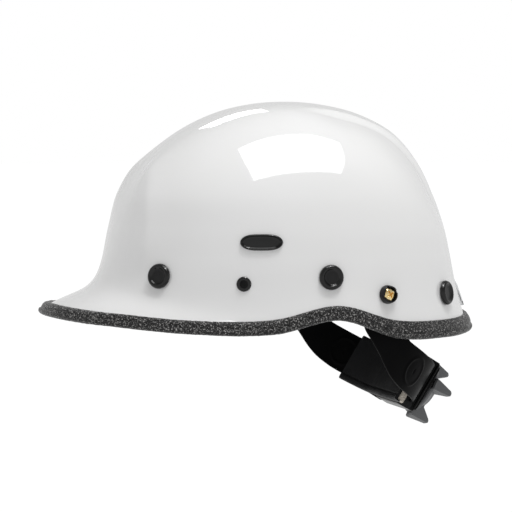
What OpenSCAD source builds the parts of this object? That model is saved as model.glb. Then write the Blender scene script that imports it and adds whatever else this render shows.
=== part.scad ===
// Rescue helmet with a brim: shell, foam liner, webbing cradle, headband and a ratchet nape band.
// +X is the wearer's left, -Y the front, +Z up. The origin is the middle of the head opening.

/* [Crown] */
// Height of the crown above the head opening
crown_h = 158; // [156:1:162]
// Reach of the crown's base in front of its centre
crown_front = 141; // [140:1:144]
// Reach of the crown's base behind its centre
crown_rear = 116; // [115:1:119]
// Half width of the crown's base
crown_side = 110; // [110:1:112]
// Thickness of the shell
shell_t = 2.5; // [2.3:0.1:2.6]

/* [Brim] */
// Reach of the brim in front of its centre
brim_front = 189; // [185:1:194]
// Reach of the brim behind its centre
brim_rear = 134.5; // [132:0.5:138]
// Half width of the brim
brim_side = 118; // [117:0.5:121]

/* [Edge trim] */
// How far the trim laps onto the shell
trim_lap = 7.5; // [6:0.5:9]
// Wall of the trim beside the shell
trim_wall = 2.2; // [1.6:0.1:2.6]

/* [Fittings] */
// Diameter of the domed harness plugs
plug_d = 18; // [14:1:20]
// Diameter of the visor socket's flange
socket_d = 10.5; // [9.5:0.5:12]
// Bore of the visor socket
socket_bore_d = 6; // [4:0.5:7]
// Diameter of the notched collar at its foot
collar_d = 13.5; // [13:0.5:15]
// Length of the oval badge
badge_l = 31; // [24:1:34]
// Height of the oval badge
badge_w = 11; // [8:1:13]

/* [Inside] */
// Thickness of the foam liner
liner_t = 13; // [8:1:14]
// Width of the crown webbing
web_w = 20; // [16:1:22]
// Thickness of the webbing
web_t = 1.5; // [1:0.1:1.8]
// Height of the headband
band_h = 26; // [20:1:28]

/* [Nape band] */
// Slope of the nape band towards the back
nape_tilt = 32; // [28:1:34]
// Width of the nape arms at the ratchet
arm_w = 32; // [28:1:33]
// Thickness of the nape arms
arm_t = 2.2; // [1.6:0.1:2.4]
// Half length of the ratchet housing
housing_half = 31; // [29:1:34]
// Height of the ratchet housing
housing_h = 42; // [42:1:50]
// Reach of the knob's prongs
knob_r = 24; // [20:1:26]
// Depth of the knob
knob_depth = 21; // [18:1:23]
// Teeth on the pinion
pinion_teeth = 12; // [12:1:12]

/* [Chin strap] */
// Height of the stowed strap's top above the head opening
chin_top = 106; // [100:1:108]
// Width of the chin strap
chin_w = 19; // [16:1:20]

/* [Hidden] */
$fn = 48;

// Crown levels from the top down, as shares of the driving sizes:
// front, rear, side, height, then the centre's shift to the back (mm) and the outline's squareness
crown_shares = [
    [0, 0, 0, 1, 3, 2.0],
    [0.19, 0.23, 0.25, 0.987, 3, 2.0],
    [0.38, 0.47, 0.47, 0.943, 3, 2.1],
    [0.58, 0.68, 0.67, 0.855, 4, 2.2],
    [0.765, 0.82, 0.83, 0.72, 5, 2.3],
    [0.885, 0.905, 0.93, 0.57, 6, 2.4],
    [0.957, 0.965, 0.98, 0.42, 8, 2.35],
    [1, 1, 1, 0.29, 9, 2.3]];
crown_rows = [for (s = crown_shares)
    [s[0] * crown_front, s[1] * crown_rear, s[2] * crown_side, s[3] * crown_h, s[4], s[5]]];
base_v = len(crown_rows) - 1;
base_shift = crown_shares[base_v][4];

// Values round the rim, every 22.5 degrees from the front centre to the back centre
rim_z = [6, 2.5, -2.5, -3, 6, -8, -10, -9, -7.5];
rim_drop = [30, 33, 38, 50, 60, 60, 55, 50, 45];
base_pull = [32, 32, 24, 18, 18, 14, 14, 14, 14];
rim_pull = [32, 32, 22, 16, 14, 12, 12, 12, 12];
rim_square = 2.1;
rim_step = 22.5;

// Places on the shell: angle from the front centre, then level (base_v at the crown's base, +1 at the rim)
plug_places = [[30.5, base_v + 0.17], [87.5, base_v + 0.27], [140, base_v + 0.475]];
socket_place = [57, base_v + 0.3];
screw_place = [109.5, base_v + 0.475];
badge_place = [63, base_v - 0.6];

columns = 60;
shell_levels = concat([for (v = [0.3 : 0.6 : base_v - 0.6]) v], [for (t = [0 : 0.125 : 1]) base_v + t]);
liner_levels = concat([for (v = [0.5 : 0.9 : base_v - 0.8]) v], [base_v - 0.25]);
liner_gap = 0.6;

// Fits
fastener_gap = 0.05;
run_gap = 0.05;
plug_shank_r = 3.2;
plug_end = 13;
key_top = 3.5;
key_t = 4;
retainer_t = 1.3;
socket_tube_r = 4.2;
socket_end = 4.5;
socket_lip = 1.6;
screw_r = 2;
screw_end = 8;

// Nape band, in its own tilted frame: x across, e along the slope to the back, h square to the slope
pivot_y = 46.5;
pivot_z = 19.5;
arm_side = 100;
arm_flat = 28;
arm_reach = 84;
arm_square = 1.8;
arm_mid_h = -33;
arm_lead = 9;
pad_r = 12;
bush_r = 5;
rack_t = 2.2;
tooth_module = 1;
pitch_r = tooth_module * pinion_teeth / 2;
rack_pitch = PI * tooth_module;
shaft_r = 4;
spigot_r = 2.5;
back_t = 2.8;
back_e = arm_reach - arm_t / 2 - 0.6 - back_t;
cover_e = back_e + back_t + 0.1;
cover_t = 10.8;
cavity_t = 6.6;
knob_e = cover_e + cover_t + 0.4;

function unit(p) = p / norm(p);

// Catmull-Rom value between b and c
function between(a, b, c, d, f) = 0.5 * (2 * b + (c - a) * f
    + (2 * a - 5 * b + 4 * c - d) * f * f + (3 * b - a - 3 * c + d) * f * f * f);

// Value at position v along a list, with its neighbours past both ends given
function along(rows, v, before, after) = let (
    i = min(floor(v), len(rows) - 2),
    a = i > 0 ? rows[i - 1] : before,
    d = i < len(rows) - 2 ? rows[i + 2] : after)
    between(a, rows[i], rows[i + 1], d, v - i);

function crown_row(v) = let (
    top = crown_rows[1],
    last = crown_rows[base_v])
    along(crown_rows, v, [-top[0], -top[1], -top[2], top[3], top[4], top[5]],
        2 * last - crown_rows[base_v - 1]);

// Radius of an egg-shaped outline at angle a from the front
function egg(front, rear, side, square, a) = let (
    reach = cos(a) > 0 ? front : rear)
    pow(pow(abs(cos(a)) / reach, square) + pow(abs(sin(a)) / side, square), -1 / square);

function crown_pt(a, v) = let (
    s = crown_row(v),
    r = egg(s[0], s[1], s[2], s[5], a))
    [r * sin(a), s[4] - r * cos(a), s[3]];

function from_front(a) = abs(a) > 180 ? 360 - abs(a) : abs(a);
function rim_value(values, a) = along(values, from_front(a) / rim_step, values[1], values[7]);

function rim_pt(a) = let (
    r = egg(brim_front, brim_rear, brim_side, rim_square, a))
    [r * sin(a), base_shift - r * cos(a), rim_value(rim_z, a)];

function rim_dir(a) = let (
    drop = rim_value(rim_drop, a))
    [sin(a) * cos(drop), -cos(a) * cos(drop), -sin(drop)];

// The flare from the crown's base (t = 0) to the rim (t = 1)
function flare_pt(a, t) = let (
    start = crown_pt(a, base_v),
    end = rim_pt(a),
    c1 = start + unit(start - crown_pt(a, base_v - 0.1)) * rim_value(base_pull, a),
    c2 = end - rim_dir(a) * rim_value(rim_pull, a),
    s = 1 - t)
    s * s * s * start + 3 * s * s * t * c1 + 3 * s * t * t * c2 + t * t * t * end;

function shell_pt(a, v) = v <= base_v ? crown_pt(a, v) : flare_pt(a, v - base_v);

function shell_normal(a, v) = let (
    dv = shell_pt(a, v + 0.02) - shell_pt(a, v - 0.02),
    da = shell_pt(a + 0.5, v) - shell_pt(a - 0.5, v))
    unit(cross(dv, da));

// Point at depth d outside (+) or inside (-) the shell's outer face
function shell_off(a, v, d) = shell_pt(a, v) + d * shell_normal(a, v);

// A closed skin over the given levels, between two depths, open at the bottom
module skin(levels, outer, inner) {
    rows = len(levels);
    n = columns;
    step = 360 / n;
    grid = rows * n;
    outer_pts = [for (v = levels) for (j = [0 : n - 1]) shell_off(j * step, v, outer)];
    inner_pts = [for (v = levels) for (j = [0 : n - 1]) shell_off(j * step, v, inner)];
    top = [0, crown_shares[0][4], crown_h];
    tops = [top + [0, 0, outer], top + [0, 0, inner]];
    faces = concat(
        [for (i = [0 : rows - 2]) for (j = [0 : n - 1]) let (k = (j + 1) % n)
            each [[i * n + j, i * n + k, (i + 1) * n + k], [i * n + j, (i + 1) * n + k, (i + 1) * n + j]]],
        [for (i = [0 : rows - 2]) for (j = [0 : n - 1]) let (k = (j + 1) % n, g = grid)
            each [[g + i * n + j, g + (i + 1) * n + k, g + i * n + k],
                [g + i * n + j, g + (i + 1) * n + j, g + (i + 1) * n + k]]],
        [for (j = [0 : n - 1]) let (k = (j + 1) % n, m = (rows - 1) * n)
            each [[m + j, m + k, grid + m + k], [m + j, grid + m + k, grid + m + j]]],
        [for (j = [0 : n - 1]) let (k = (j + 1) % n)
            each [[2 * grid, k, j], [2 * grid + 1, grid + j, grid + k]]]);
    polyhedron(points = concat(outer_pts, inner_pts, tops), faces = faces, convexity = 6);
}

// Puts children on the shell's outer face, their +Z along its outward normal
module at_shell(a, v) {
    nrm = shell_normal(a, v);
    translate(shell_pt(a, v))
        rotate([0, acos(nrm[2]), atan2(nrm[1], nrm[0])])
            children();
}

module both_sides(place) {
    for (side = [-1, 1])
        at_shell(side * place[0], place[1])
            children();
}

module at_plugs() {
    for (place = plug_places)
        both_sides(place)
            children();
}

module drill(r) {
    translate([0, 0, -plug_end - 3])
        cylinder(r = r, h = plug_end + 10);
}

// Outline of a strip of material on each side of a path, from offset low to offset high
function path_normal(path, i) = let (
    d = path[min(i + 1, len(path) - 1)] - path[max(i - 1, 0)])
    unit([d[1], -d[0]]);
function ribbon(path, low, high) = concat(
    [for (i = [0 : len(path) - 1]) path[i] + high * path_normal(path, i)],
    [for (i = [len(path) - 1 : -1 : 0]) path[i] + low * path_normal(path, i)]);

// Point on a quarter of a superellipse, from (side, 0) at 0 degrees to (0, reach) at 90 degrees
function oval_pt(side, reach, square, u) =
    [side * pow(cos(u), 2 / square), reach * pow(sin(u), 2 / square)];

module rounded_box(x, y, r) {
    for (sx = [-1, 1])
        for (sy = [-1, 1])
            translate([sx * (x / 2 - r), sy * (y / 2 - r)])
                circle(r);
    square([x - 2 * r, y], center = true);
    square([x, y - 2 * r], center = true);
}

// ---- shell and its fittings ----

clip_rivet_x = 7;
clip_rivet_v = base_v + 0.22;
clip_w = 26;

module shell() {
    color("white")
        difference() {
            skin(shell_levels, 0, -shell_t);
            at_plugs()
                drill(plug_shank_r + fastener_gap);
            both_sides(socket_place)
                drill(socket_tube_r + fastener_gap);
            both_sides(screw_place)
                drill(screw_r + fastener_gap);
            clip_rivet_places()
                drill(1.6 + fastener_gap);
        }
}

// Section of the trim: distance in from the rim, then depth from the shell's outer face
trim_section = [
    [trim_lap, 0.1], [trim_lap, trim_wall - 0.9], [trim_lap - 1.2, trim_wall], [0.5, trim_wall + 0.1],
    [-1.5, trim_wall - 0.9], [-2.6, -shell_t / 2], [-1.5, -shell_t - trim_wall + 0.9],
    [0.5, -shell_t - trim_wall - 0.1], [trim_lap - 1.2, -shell_t - trim_wall],
    [trim_lap, -shell_t - trim_wall + 0.9], [trim_lap, -shell_t - 0.1], [-0.1, -shell_t - 0.1], [-0.1, 0.1]];

function trim_pt(a, in, depth) = in > 0
    ? shell_off(a, base_v + 1 - in / (3 * rim_value(rim_pull, a)), depth)
    : rim_pt(a) - in * rim_dir(a) + depth * shell_normal(a, base_v + 1);

module edge_trim() {
    n = columns;
    m = len(trim_section);
    points = [for (j = [0 : n - 1]) for (s = trim_section) trim_pt(j * 360 / n, s[0], s[1])];
    faces = [for (j = [0 : n - 1]) for (i = [0 : m - 1]) let (k = (j + 1) % n, l = (i + 1) % m)
        each [[j * m + i, k * m + i, k * m + l], [j * m + i, k * m + l, j * m + l]]];
    color("dimgray")
        polyhedron(points = points, faces = faces, convexity = 8);
}

module harness_plugs() {
    r = plug_d / 2;
    color([0.08, 0.08, 0.09])
        at_plugs()
            rotate_extrude()
                polygon([[0, -plug_end], [plug_shank_r, -plug_end], [plug_shank_r, 0.45], [r - 0.3, 0.45],
                    [r, 0.9], [r - 0.15, 1.6], [r - 0.8, 2.5], [r - 2, 3.2], [r - 3.5, 3.5], [r - 5, 3.4],
                    [0, 3.1]]);
}

module harness_keys() {
    color([0.12, 0.12, 0.13])
        at_plugs()
            translate([2, 0, -key_top - key_t])
                difference() {
                    linear_extrude(key_t)
                        rounded_box(20, 22, 3);
                    translate([-2, 0, -1])
                        cylinder(r = plug_shank_r + fastener_gap, h = key_t + 2);
                }
}

module plug_retainers() {
    color("gray")
        at_plugs()
            translate([0, 0, -plug_end + 0.1])
                difference() {
                    cylinder(r = 6, h = retainer_t);
                    translate([0, 0, -1])
                        cylinder(r = plug_shank_r + fastener_gap, h = retainer_t + 2);
                }
}

module visor_sockets() {
    r = socket_d / 2;
    bore = socket_bore_d / 2;
    color([0.03, 0.03, 0.03])
        both_sides(socket_place)
            rotate_extrude()
                polygon([[bore, -socket_end], [socket_tube_r, -socket_end], [socket_tube_r, 0.25],
                    [r - 0.2, 0.25], [r, 0.6], [r - 0.5, 1.3], [r - 1.2, socket_lip], [bore, socket_lip]]);
}

// Black collar with four notches in its mouth, which the brass screw holds down
collar_h = 5;
collar_floor = 1.4;
module screw_collars() {
    foot = collar_d / 2;
    mouth = foot - 0.7;
    color([0.1, 0.1, 0.1])
        both_sides(screw_place)
            difference() {
                rotate_extrude()
                    polygon([[screw_r + fastener_gap, 0.3], [foot, 0.3], [foot, 0.9],
                        [mouth, collar_h - 0.4], [mouth - 0.4, collar_h], [mouth - 1, collar_h],
                        [mouth - 1, collar_floor], [screw_r + fastener_gap, collar_floor]]);
                for (turn = [20, 110, 200, 290])
                    rotate([0, 0, turn])
                        translate([mouth - 1.6, -1.1, collar_h - 1.6])
                            cube([3, 2.2, 3]);
            }
}

module brass_screws() {
    color("goldenrod")
        both_sides(screw_place)
            difference() {
                rotate_extrude()
                    polygon([[0, -screw_end], [screw_r, -screw_end], [screw_r, collar_floor + 0.1],
                        [4.7, collar_floor + 0.1], [4.7, collar_floor + 1.3], [4.2, collar_floor + 2.2],
                        [3, collar_floor + 2.8], [0, collar_floor + 3.1]]);
                for (turn = [25, 115])
                    rotate([0, 0, turn])
                        translate([-2.4, -0.5, collar_floor + 1.6])
                            cube([4.8, 1, 3]);
            }
}

module side_bar(side, x0, x1, r) {
    translate([side * x0, pivot_y, pivot_z])
        rotate([0, side * 90, 0])
            cylinder(r = r, h = x1 - x0);
}

bush_in = 94.6;
shoulder_x = arm_side + arm_t / 2 + 0.3;
module pivot_bushes() {
    color([0.15, 0.15, 0.16])
        for (side = [-1, 1])
            difference() {
                union() {
                    side_bar(side, bush_in, 112, bush_r);
                    side_bar(side, shoulder_x, 112, bush_r + 2.5);
                }
                at_shell(side * screw_place[0], screw_place[1])
                    translate([-20, -20, -shell_t - 0.3])
                        cube([40, 40, 30]);
                at_shell(side * screw_place[0], screw_place[1])
                    drill(screw_r + fastener_gap);
            }
}

module pivot_clips() {
    color("silver")
        for (side = [-1, 1])
            difference() {
                side_bar(side, bush_in + 0.1, bush_in + 1.9, bush_r + 3);
                side_bar(side, bush_in - 1, bush_in + 3, bush_r + fastener_gap);
            }
}

module badge(side) {
    color([0.02, 0.02, 0.02])
        at_shell(side * badge_place[0], badge_place[1])
            difference() {
                translate([0, 0, 0.2])
                    badge_oval(badge_l, badge_w, 1.8);
                translate([0, 0, 1.4])
                    badge_oval(badge_l - 2.4, badge_w - 2.4, 2);
            }
}

// Oval from two shallow arcs, cut blunt at both ends, its long side across the shell
badge_blunt = 0.42;
module badge_oval(l, w, h) {
    sag = w / 2 * (1 - badge_blunt);
    r = (l * l / 4 + sag * sag) / (2 * sag);
    linear_extrude(h)
        intersection() {
            translate([r - w / 2, 0])
                circle(r, $fn = 120);
            translate([-r + w / 2, 0])
                circle(r, $fn = 120);
            square([w, l], center = true);
        }
}

module badge_left() {
    badge(1);
}

module badge_right() {
    badge(-1);
}

// Clear hook at the back that keeps a goggle strap on the shell
function clip_side(v, gap) = let (p = shell_off(180, v, gap)) [p[1], p[2]];
clip_path = [clip_side(base_v + 0.1, 1.3), clip_side(base_v + 0.3, 1.4), clip_side(base_v + 0.4, 2.8),
    clip_side(base_v + 0.5, 4.4), clip_side(base_v + 0.65, 4.6), clip_side(base_v + 0.76, 4.4)];

module clip_rivet_places() {
    nrm = shell_normal(180, clip_rivet_v);
    for (side = [-1, 1])
        translate(shell_pt(180, clip_rivet_v) + [side * clip_rivet_x, 0, 0])
            rotate([0, acos(nrm[2]), atan2(nrm[1], nrm[0])])
                children();
}

module goggle_clip() {
    color([0.85, 0.9, 0.92, 0.4])
        difference() {
            rotate([90, 0, 90])
                translate([0, 0, -clip_w / 2])
                    linear_extrude(clip_w)
                        polygon(ribbon(clip_path, -0.8, 0.8));
            clip_rivet_places()
                drill(1.6 + fastener_gap);
        }
}

module goggle_clip_rivets() {
    color("silver")
        clip_rivet_places()
            rotate_extrude()
                polygon([[0, -4.2], [3, -4.2], [3, -3.4], [1.6, -3.4], [1.6, 2.4], [3, 2.4], [2.6, 3.2],
                    [0, 3.5]]);
}

// ---- inside the bowl ----

module impact_liner() {
    color([0.2, 0.2, 0.22])
        skin(liner_levels, -shell_t - liner_gap, -shell_t - liner_gap - liner_t);
}

// Side view of a crown strap: a tab on its plug, a lead-in and a half arch on each side of the middle.
// Each end gives the tab's run and height, then the arch's run
tab_below = 7;
tab_above = 6.5;
arch_z = 48;
function half_arch(end, top) = concat(
    [[end[0], end[1] - tab_below], [end[0], end[1] + tab_above]],
    [for (u = [0 : 7.5 : 90]) [0, arch_z] + oval_pt(end[2], top - arch_z, 2, u)]);
function arch_path(front, back, top) = let (
    a = half_arch(front, top),
    b = half_arch(back, top))
    concat(a, [for (i = [len(b) - 2 : -1 : 0]) [-b[i][0], b[i][1]]]);

module web_arch(front, back, top) {
    rotate([90, 0, 0])
        translate([0, 0, -web_w / 2])
            linear_extrude(web_w)
                polygon(ribbon(arch_path(front, back, top), -web_t / 2, web_t / 2));
}

// The two straps that run from a front plug to the back plug of the other side
strap_depth = key_top + key_t + 1;
front_anchor = shell_off(plug_places[0][0], plug_places[0][1], -strap_depth);
back_anchor = shell_off(plug_places[2][0], plug_places[2][1], -strap_depth);
mid_anchor = shell_off(plug_places[1][0], plug_places[1][1], -strap_depth);
cross_y = front_anchor[1] + (back_anchor[1] - front_anchor[1]) * front_anchor[0]
    / (front_anchor[0] + back_anchor[0]);
strap_turn = atan2(front_anchor[1] - cross_y, front_anchor[0]);
front_run = norm([front_anchor[0], front_anchor[1] - cross_y]);
back_run = norm([back_anchor[0], back_anchor[1] - cross_y]);

module slanted_strap(side, top) {
    difference() {
        translate([0, cross_y, 0])
            rotate([0, 0, side > 0 ? strap_turn : 180 - strap_turn])
                web_arch([front_run, front_anchor[2], front_run - 14.5],
                    [back_run, back_anchor[2], back_run - 17], top);
        at_plugs()
            drill(plug_shank_r + fastener_gap);
    }
}

module crown_strap_left() {
    color([0.1, 0.1, 0.1])
        slanted_strap(1, crown_h - 29);
}

module crown_strap_right() {
    color([0.1, 0.1, 0.1])
        slanted_strap(-1, crown_h - 32.2);
}

module crown_strap_cross() {
    end = [mid_anchor[0], mid_anchor[2], mid_anchor[0] - 12];
    color([0.1, 0.1, 0.1])
        difference() {
            translate([0, mid_anchor[1], 0])
                web_arch(end, end, crown_h - 35.4);
            at_plugs()
                drill(plug_shank_r + fastener_gap);
        }
}

module crown_patch() {
    color([0.16, 0.16, 0.17])
        translate([0, cross_y, crown_h - 29 + web_t / 2 + 0.2])
            cylinder(r = 24, h = 2);
}

// Headband: one strip round the forehead from pivot to pivot
band_t = 1.6;
band_low = 12;
band_side = 95;
band_front = 114;
band_square = 2.3;
band_mid_y = 10;
band_end_x = 97.5;
band_end_y = pivot_y + 8;
function band_pt(inset, u) = let (
    p = oval_pt(band_side - inset, band_front - inset, band_square, u))
    [p[0], band_mid_y - p[1]];
function band_path(inset) = concat(
    [[band_end_x - inset, band_end_y], [band_end_x - inset, pivot_y - 9]],
    [for (u = [0 : 6 : 90]) band_pt(inset, u)],
    [for (u = [84 : -6 : 0]) let (p = band_pt(inset, u)) [-p[0], p[1]]],
    [[-band_end_x + inset, pivot_y - 9], [-band_end_x + inset, band_end_y]]);

module headband() {
    color([0.14, 0.14, 0.15])
        difference() {
            translate([0, 0, band_low])
                linear_extrude(band_h)
                    polygon(ribbon(band_path(0), -band_t / 2, band_t / 2));
            for (side = [-1, 1])
                side_bar(side, bush_in - 2, 104, bush_r + fastener_gap);
        }
}

// Short plates that hang the front of the headband from the front keys
module headband_tabs() {
    color([0.14, 0.14, 0.15])
        both_sides(plug_places[0])
            translate([7.6, -1.2, -27.5])
                cube([7, 2.4, 19.8]);
}

function brow_path(inset, spread) = [for (u = [-spread : 5 : spread]) let (
    p = band_pt(inset, 90 - abs(u)))
    [u < 0 ? -p[0] : p[0], p[1]]];

module brow_pad() {
    color([0.07, 0.07, 0.07])
        translate([0, 0, band_low - 2])
            linear_extrude(band_h + 4)
                polygon(ribbon(brow_path(3.3, 60), -2.1, 2.1));
}

// ---- chin strap, stowed buckled across the bowl ----

chin_y = mid_anchor[1];
chin_tab_x = mid_anchor[0] - web_t - 0.3;
chin_arch_x = 84;
chin_arch_z = 44;
buckle_half = 24;
function chin_pt(u) = [0, chin_arch_z] + oval_pt(chin_arch_x, chin_top - chin_arch_z, 2.4, u);
chin_end = 72;
function chin_path() = concat(
    [[chin_tab_x, 24], [chin_tab_x, 37.6], [chin_tab_x - 9, 42.3]],
    [for (u = [6 : 6 : chin_end]) chin_pt(u)],
    [[buckle_half - 1, chin_top - 0.2]]);

module chin_strap(side) {
    difference() {
        mirror([side > 0 ? 0 : 1, 0, 0])
            translate([0, chin_y, 0])
                rotate([90, 0, 0])
                    translate([0, 0, -chin_w / 2])
                        linear_extrude(chin_w)
                            polygon(ribbon(chin_path(), -web_t / 2, web_t / 2));
        at_plugs()
            drill(plug_shank_r + fastener_gap);
    }
}

module chin_strap_left() {
    color([0.1, 0.1, 0.1])
        chin_strap(1);
}

module chin_strap_right() {
    color([0.1, 0.1, 0.1])
        chin_strap(-1);
}

// Ladder-lock slider on the right-hand webbing
module chin_slider() {
    p = chin_pt(42);
    ahead = chin_pt(48) - chin_pt(36);
    color([0.12, 0.12, 0.13])
        translate([-p[0], chin_y, p[1]])
            rotate([0, -atan2(ahead[1], -ahead[0]), 0])
                difference() {
                    translate([-6.5, -chin_w / 2 - 3, -2.6])
                        cube([13, chin_w + 6, 5.2]);
                    translate([-8, -chin_w / 2 - 0.3, -web_t / 2 - 0.6])
                        cube([16, chin_w + 0.6, web_t + 1.2]);
                }
}

// Side-release buckle across the middle: female half on the right, male half on the left
buckle_w = 25;
buckle_t = 7;
module buckle_female() {
    color([0.12, 0.12, 0.13])
        translate([0, chin_y, chin_top - 0.2])
            difference() {
                translate([-buckle_half, -buckle_w / 2, -buckle_t / 2])
                    cube([buckle_half + 2, buckle_w, buckle_t]);
                translate([-14, -buckle_w / 2 + 3, -2.2])
                    cube([30, buckle_w - 6, 4.4]);
                for (sy = [-1, 1])
                    translate([-8, sy * (buckle_w / 2) - 3.2, -2.2])
                        cube([10.5, 6.4, 4.4]);
                translate([-buckle_half - 1, -chin_w / 2 - 0.3, -web_t / 2 - 0.3])
                    cube([8, chin_w + 0.6, web_t + 0.6]);
            }
}

module buckle_male() {
    color([0.12, 0.12, 0.13])
        translate([0, chin_y, chin_top - 0.2])
            difference() {
                union() {
                    translate([2.5, -buckle_w / 2, -buckle_t / 2])
                        cube([buckle_half - 2.5, buckle_w, buckle_t]);
                    translate([-13, -1.5, -1.8])
                        cube([18, 3, 3.6]);
                    for (sy = [-1, 1])
                        translate([0, sy * 6.6, 0]) {
                            translate([-10, -1.3, -1.8])
                                cube([15, 2.6, 3.6]);
                            translate([-10, sy > 0 ? 0 : -2.6, -1.8])
                                cube([7, 2.6, 3.6]);
                        }
                }
                translate([buckle_half - 8, -chin_w / 2 - 0.3, -web_t / 2 - 0.3])
                    cube([10, chin_w + 0.6, web_t + 0.6]);
            }
}

// ---- nape band ----

module nape_frame() {
    translate([0, pivot_y, pivot_z])
        rotate([-nape_tilt, 0, 0])
            children();
}

// Plan of the left arm, from its pad to the ratchet
function arm_plan(side, reach) = concat(
    [[side, -pad_r - 1], [side, -4]],
    [for (u = [0 : 6 : 84])
        [arm_flat, arm_lead] + oval_pt(side - arm_flat, reach - arm_lead, arm_square, u)],
    [[arm_flat, reach], [arm_flat - 2, reach]]);

// Side view of an arm: its pad, a neck that sweeps down and the wide end for the ratchet
arm_top = arm_mid_h + arm_w / 2;
arm_bottom = arm_mid_h - arm_w / 2;
arm_side_view = [
    [-11, -4], [-4, -20], [2, -27.6], [13, -33.2], [23, -38], [32, -42.8], [41, -46.4],
    [51, arm_bottom + 0.6], [63, arm_bottom], [90, arm_bottom], [90, arm_top], [37, arm_top],
    [34.5, arm_top + 3.2],
    [21, -2], [11.5, 5.5], [0, 8]];

module nape_arm() {
    difference() {
        intersection() {
            translate([0, 0, -60])
                linear_extrude(80)
                    polygon(ribbon(arm_plan(arm_side, arm_reach), -arm_t / 2, arm_t / 2));
            rotate([90, 0, 90])
                linear_extrude(110) {
                    polygon(arm_side_view);
                    circle(pad_r);
                }
        }
        rotate([0, 90, 0])
            cylinder(r = bush_r + run_gap, h = 120);
    }
}

module nape_arm_left() {
    color([0.07, 0.07, 0.07])
        nape_frame()
            nape_arm();
}

module nape_arm_right() {
    color([0.07, 0.07, 0.07])
        nape_frame()
            mirror([1, 0, 0])
                nape_arm();
}

// Toothed tongue at the end of an arm: it lies beside the pinion, its teeth towards it
rack_end = -12;
rack_start = arm_flat - 2.4;
tooth_tip = 0.55;
tooth_root = 1.05;
module rack() {
    back = arm_w / 2 - 1;
    pitch_h = pitch_r + 0.1;
    translate([0, arm_reach, arm_mid_h])
        rotate([90, 0, 0])
            translate([0, 0, -rack_t / 2])
                linear_extrude(rack_t) {
                    translate([rack_end, pitch_h + tooth_module])
                        square([rack_start - rack_end, back - pitch_h - tooth_module]);
                    for (i = [-3 : 5])
                        translate([i * rack_pitch + rack_pitch / 2, pitch_h])
                            polygon([[-tooth_root, tooth_module + 0.1], [-tooth_tip, -0.75 * tooth_module],
                                [tooth_tip, -0.75 * tooth_module], [tooth_root, tooth_module + 0.1]]);
                }
}

module rack_left() {
    color([0.09, 0.09, 0.09])
        nape_frame()
            rack();
}

module rack_right() {
    color([0.09, 0.09, 0.09])
        nape_frame()
            translate([0, 0, 2 * arm_mid_h])
                rotate([0, 180, 0])
                    rack();
}

// Puts children on the knob's axis, their +Z along the slope to the back
module on_knob_axis(e) {
    translate([0, e, arm_mid_h])
        rotate([-90, 0, 0])
            children();
}

screw_x = housing_half - 4.5;
screw_h = housing_h / 2 - 2.6;
module at_housing_screws() {
    for (sx = [-1, 1])
        for (sh = [-1, 1])
            translate([sx * screw_x, sh * screw_h])
                children();
}

module ratchet_back() {
    color([0.08, 0.08, 0.08])
        nape_frame()
            on_knob_axis(back_e)
                difference() {
                    linear_extrude(back_t)
                        rounded_box(2 * housing_half, housing_h, 3);
                    translate([0, 0, -1])
                        cylinder(r = spigot_r + run_gap, h = back_t + 2);
                    at_housing_screws()
                        translate([0, 0, -1])
                            cylinder(r = 1.1 + fastener_gap, h = back_t + 2);
                    at_housing_screws()
                        translate([0, 0, -1])
                            cylinder(r = 2.2, h = 2.2);
                }
}

cavity_x = 2 * housing_half - 7;
cavity_h = arm_w + 1;
module ratchet_cover() {
    color([0.05, 0.05, 0.05])
        nape_frame()
            on_knob_axis(cover_e)
                difference() {
                    union() {
                        linear_extrude(cover_t - 2.5)
                            rounded_box(2 * housing_half, housing_h, 3);
                        translate([0, 0, cover_t - 2.6])
                            linear_extrude(2.6)
                                rounded_box(2 * housing_half - 4, housing_h - 4, 4);
                        for (sx = [-1, 1])
                            for (rib = [1.4, 4.4, 7.4])
                                translate([sx * housing_half, -housing_h / 2 + 3, rib])
                                    rotate([-90, 0, 0])
                                        cylinder(r = 1, h = housing_h - 6);
                    }
                    translate([-cavity_x / 2, -cavity_h / 2, -1])
                        cube([cavity_x, cavity_h, cavity_t + 1]);
                    translate([-housing_half - 3, -cavity_h / 2, -1])
                        cube([2 * housing_half + 6, cavity_h, arm_t + 2.2]);
                    cylinder(r = shaft_r + run_gap, h = cover_t + 1);
                    at_housing_screws()
                        translate([0, 0, -1])
                            cylinder(r = 1.1 + fastener_gap, h = 8);
                }
}

module ratchet_screws() {
    color("silver")
        nape_frame()
            on_knob_axis(back_e)
                at_housing_screws()
                    rotate_extrude()
                        polygon([[0, 0.1], [2.1, 0.1], [2.1, 1.1], [1.1, 1.1], [1.1, 9], [0, 9]]);
}

detent_r = 9;
detent_teeth = 18;
wheel_z = rack_t / 2 + 2.3;
module pinion() {
    color([0.2, 0.2, 0.2])
        nape_frame()
            on_knob_axis(arm_reach)
                difference() {
                    union() {
                        translate([0, 0, -rack_t / 2 - 3])
                            cylinder(r = spigot_r, h = 3.1);
                        translate([0, 0, -rack_t / 2])
                            linear_extrude(wheel_z + rack_t / 2)
                                pinion_outline();
                        translate([0, 0, wheel_z])
                            linear_extrude(1.2)
                                detent_outline();
                        translate([0, 0, wheel_z])
                            cylinder(r = shaft_r, h = knob_e - arm_reach - wheel_z + 8);
                    }
                    translate([0, 0, 5])
                        cylinder(r = 1.5 + fastener_gap, h = 30);
                }
}

module pinion_outline() {
    circle(pitch_r - tooth_module - 0.2);
    for (i = [0 : pinion_teeth - 1])
        rotate(i * 360 / pinion_teeth + 90)
            polygon([[pitch_r - tooth_module - 0.6, -1.1], [pitch_r, -0.6], [pitch_r + 0.75, -0.35],
                [pitch_r + 0.75, 0.35], [pitch_r, 0.6], [pitch_r - tooth_module - 0.6, 1.1]]);
}

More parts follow.
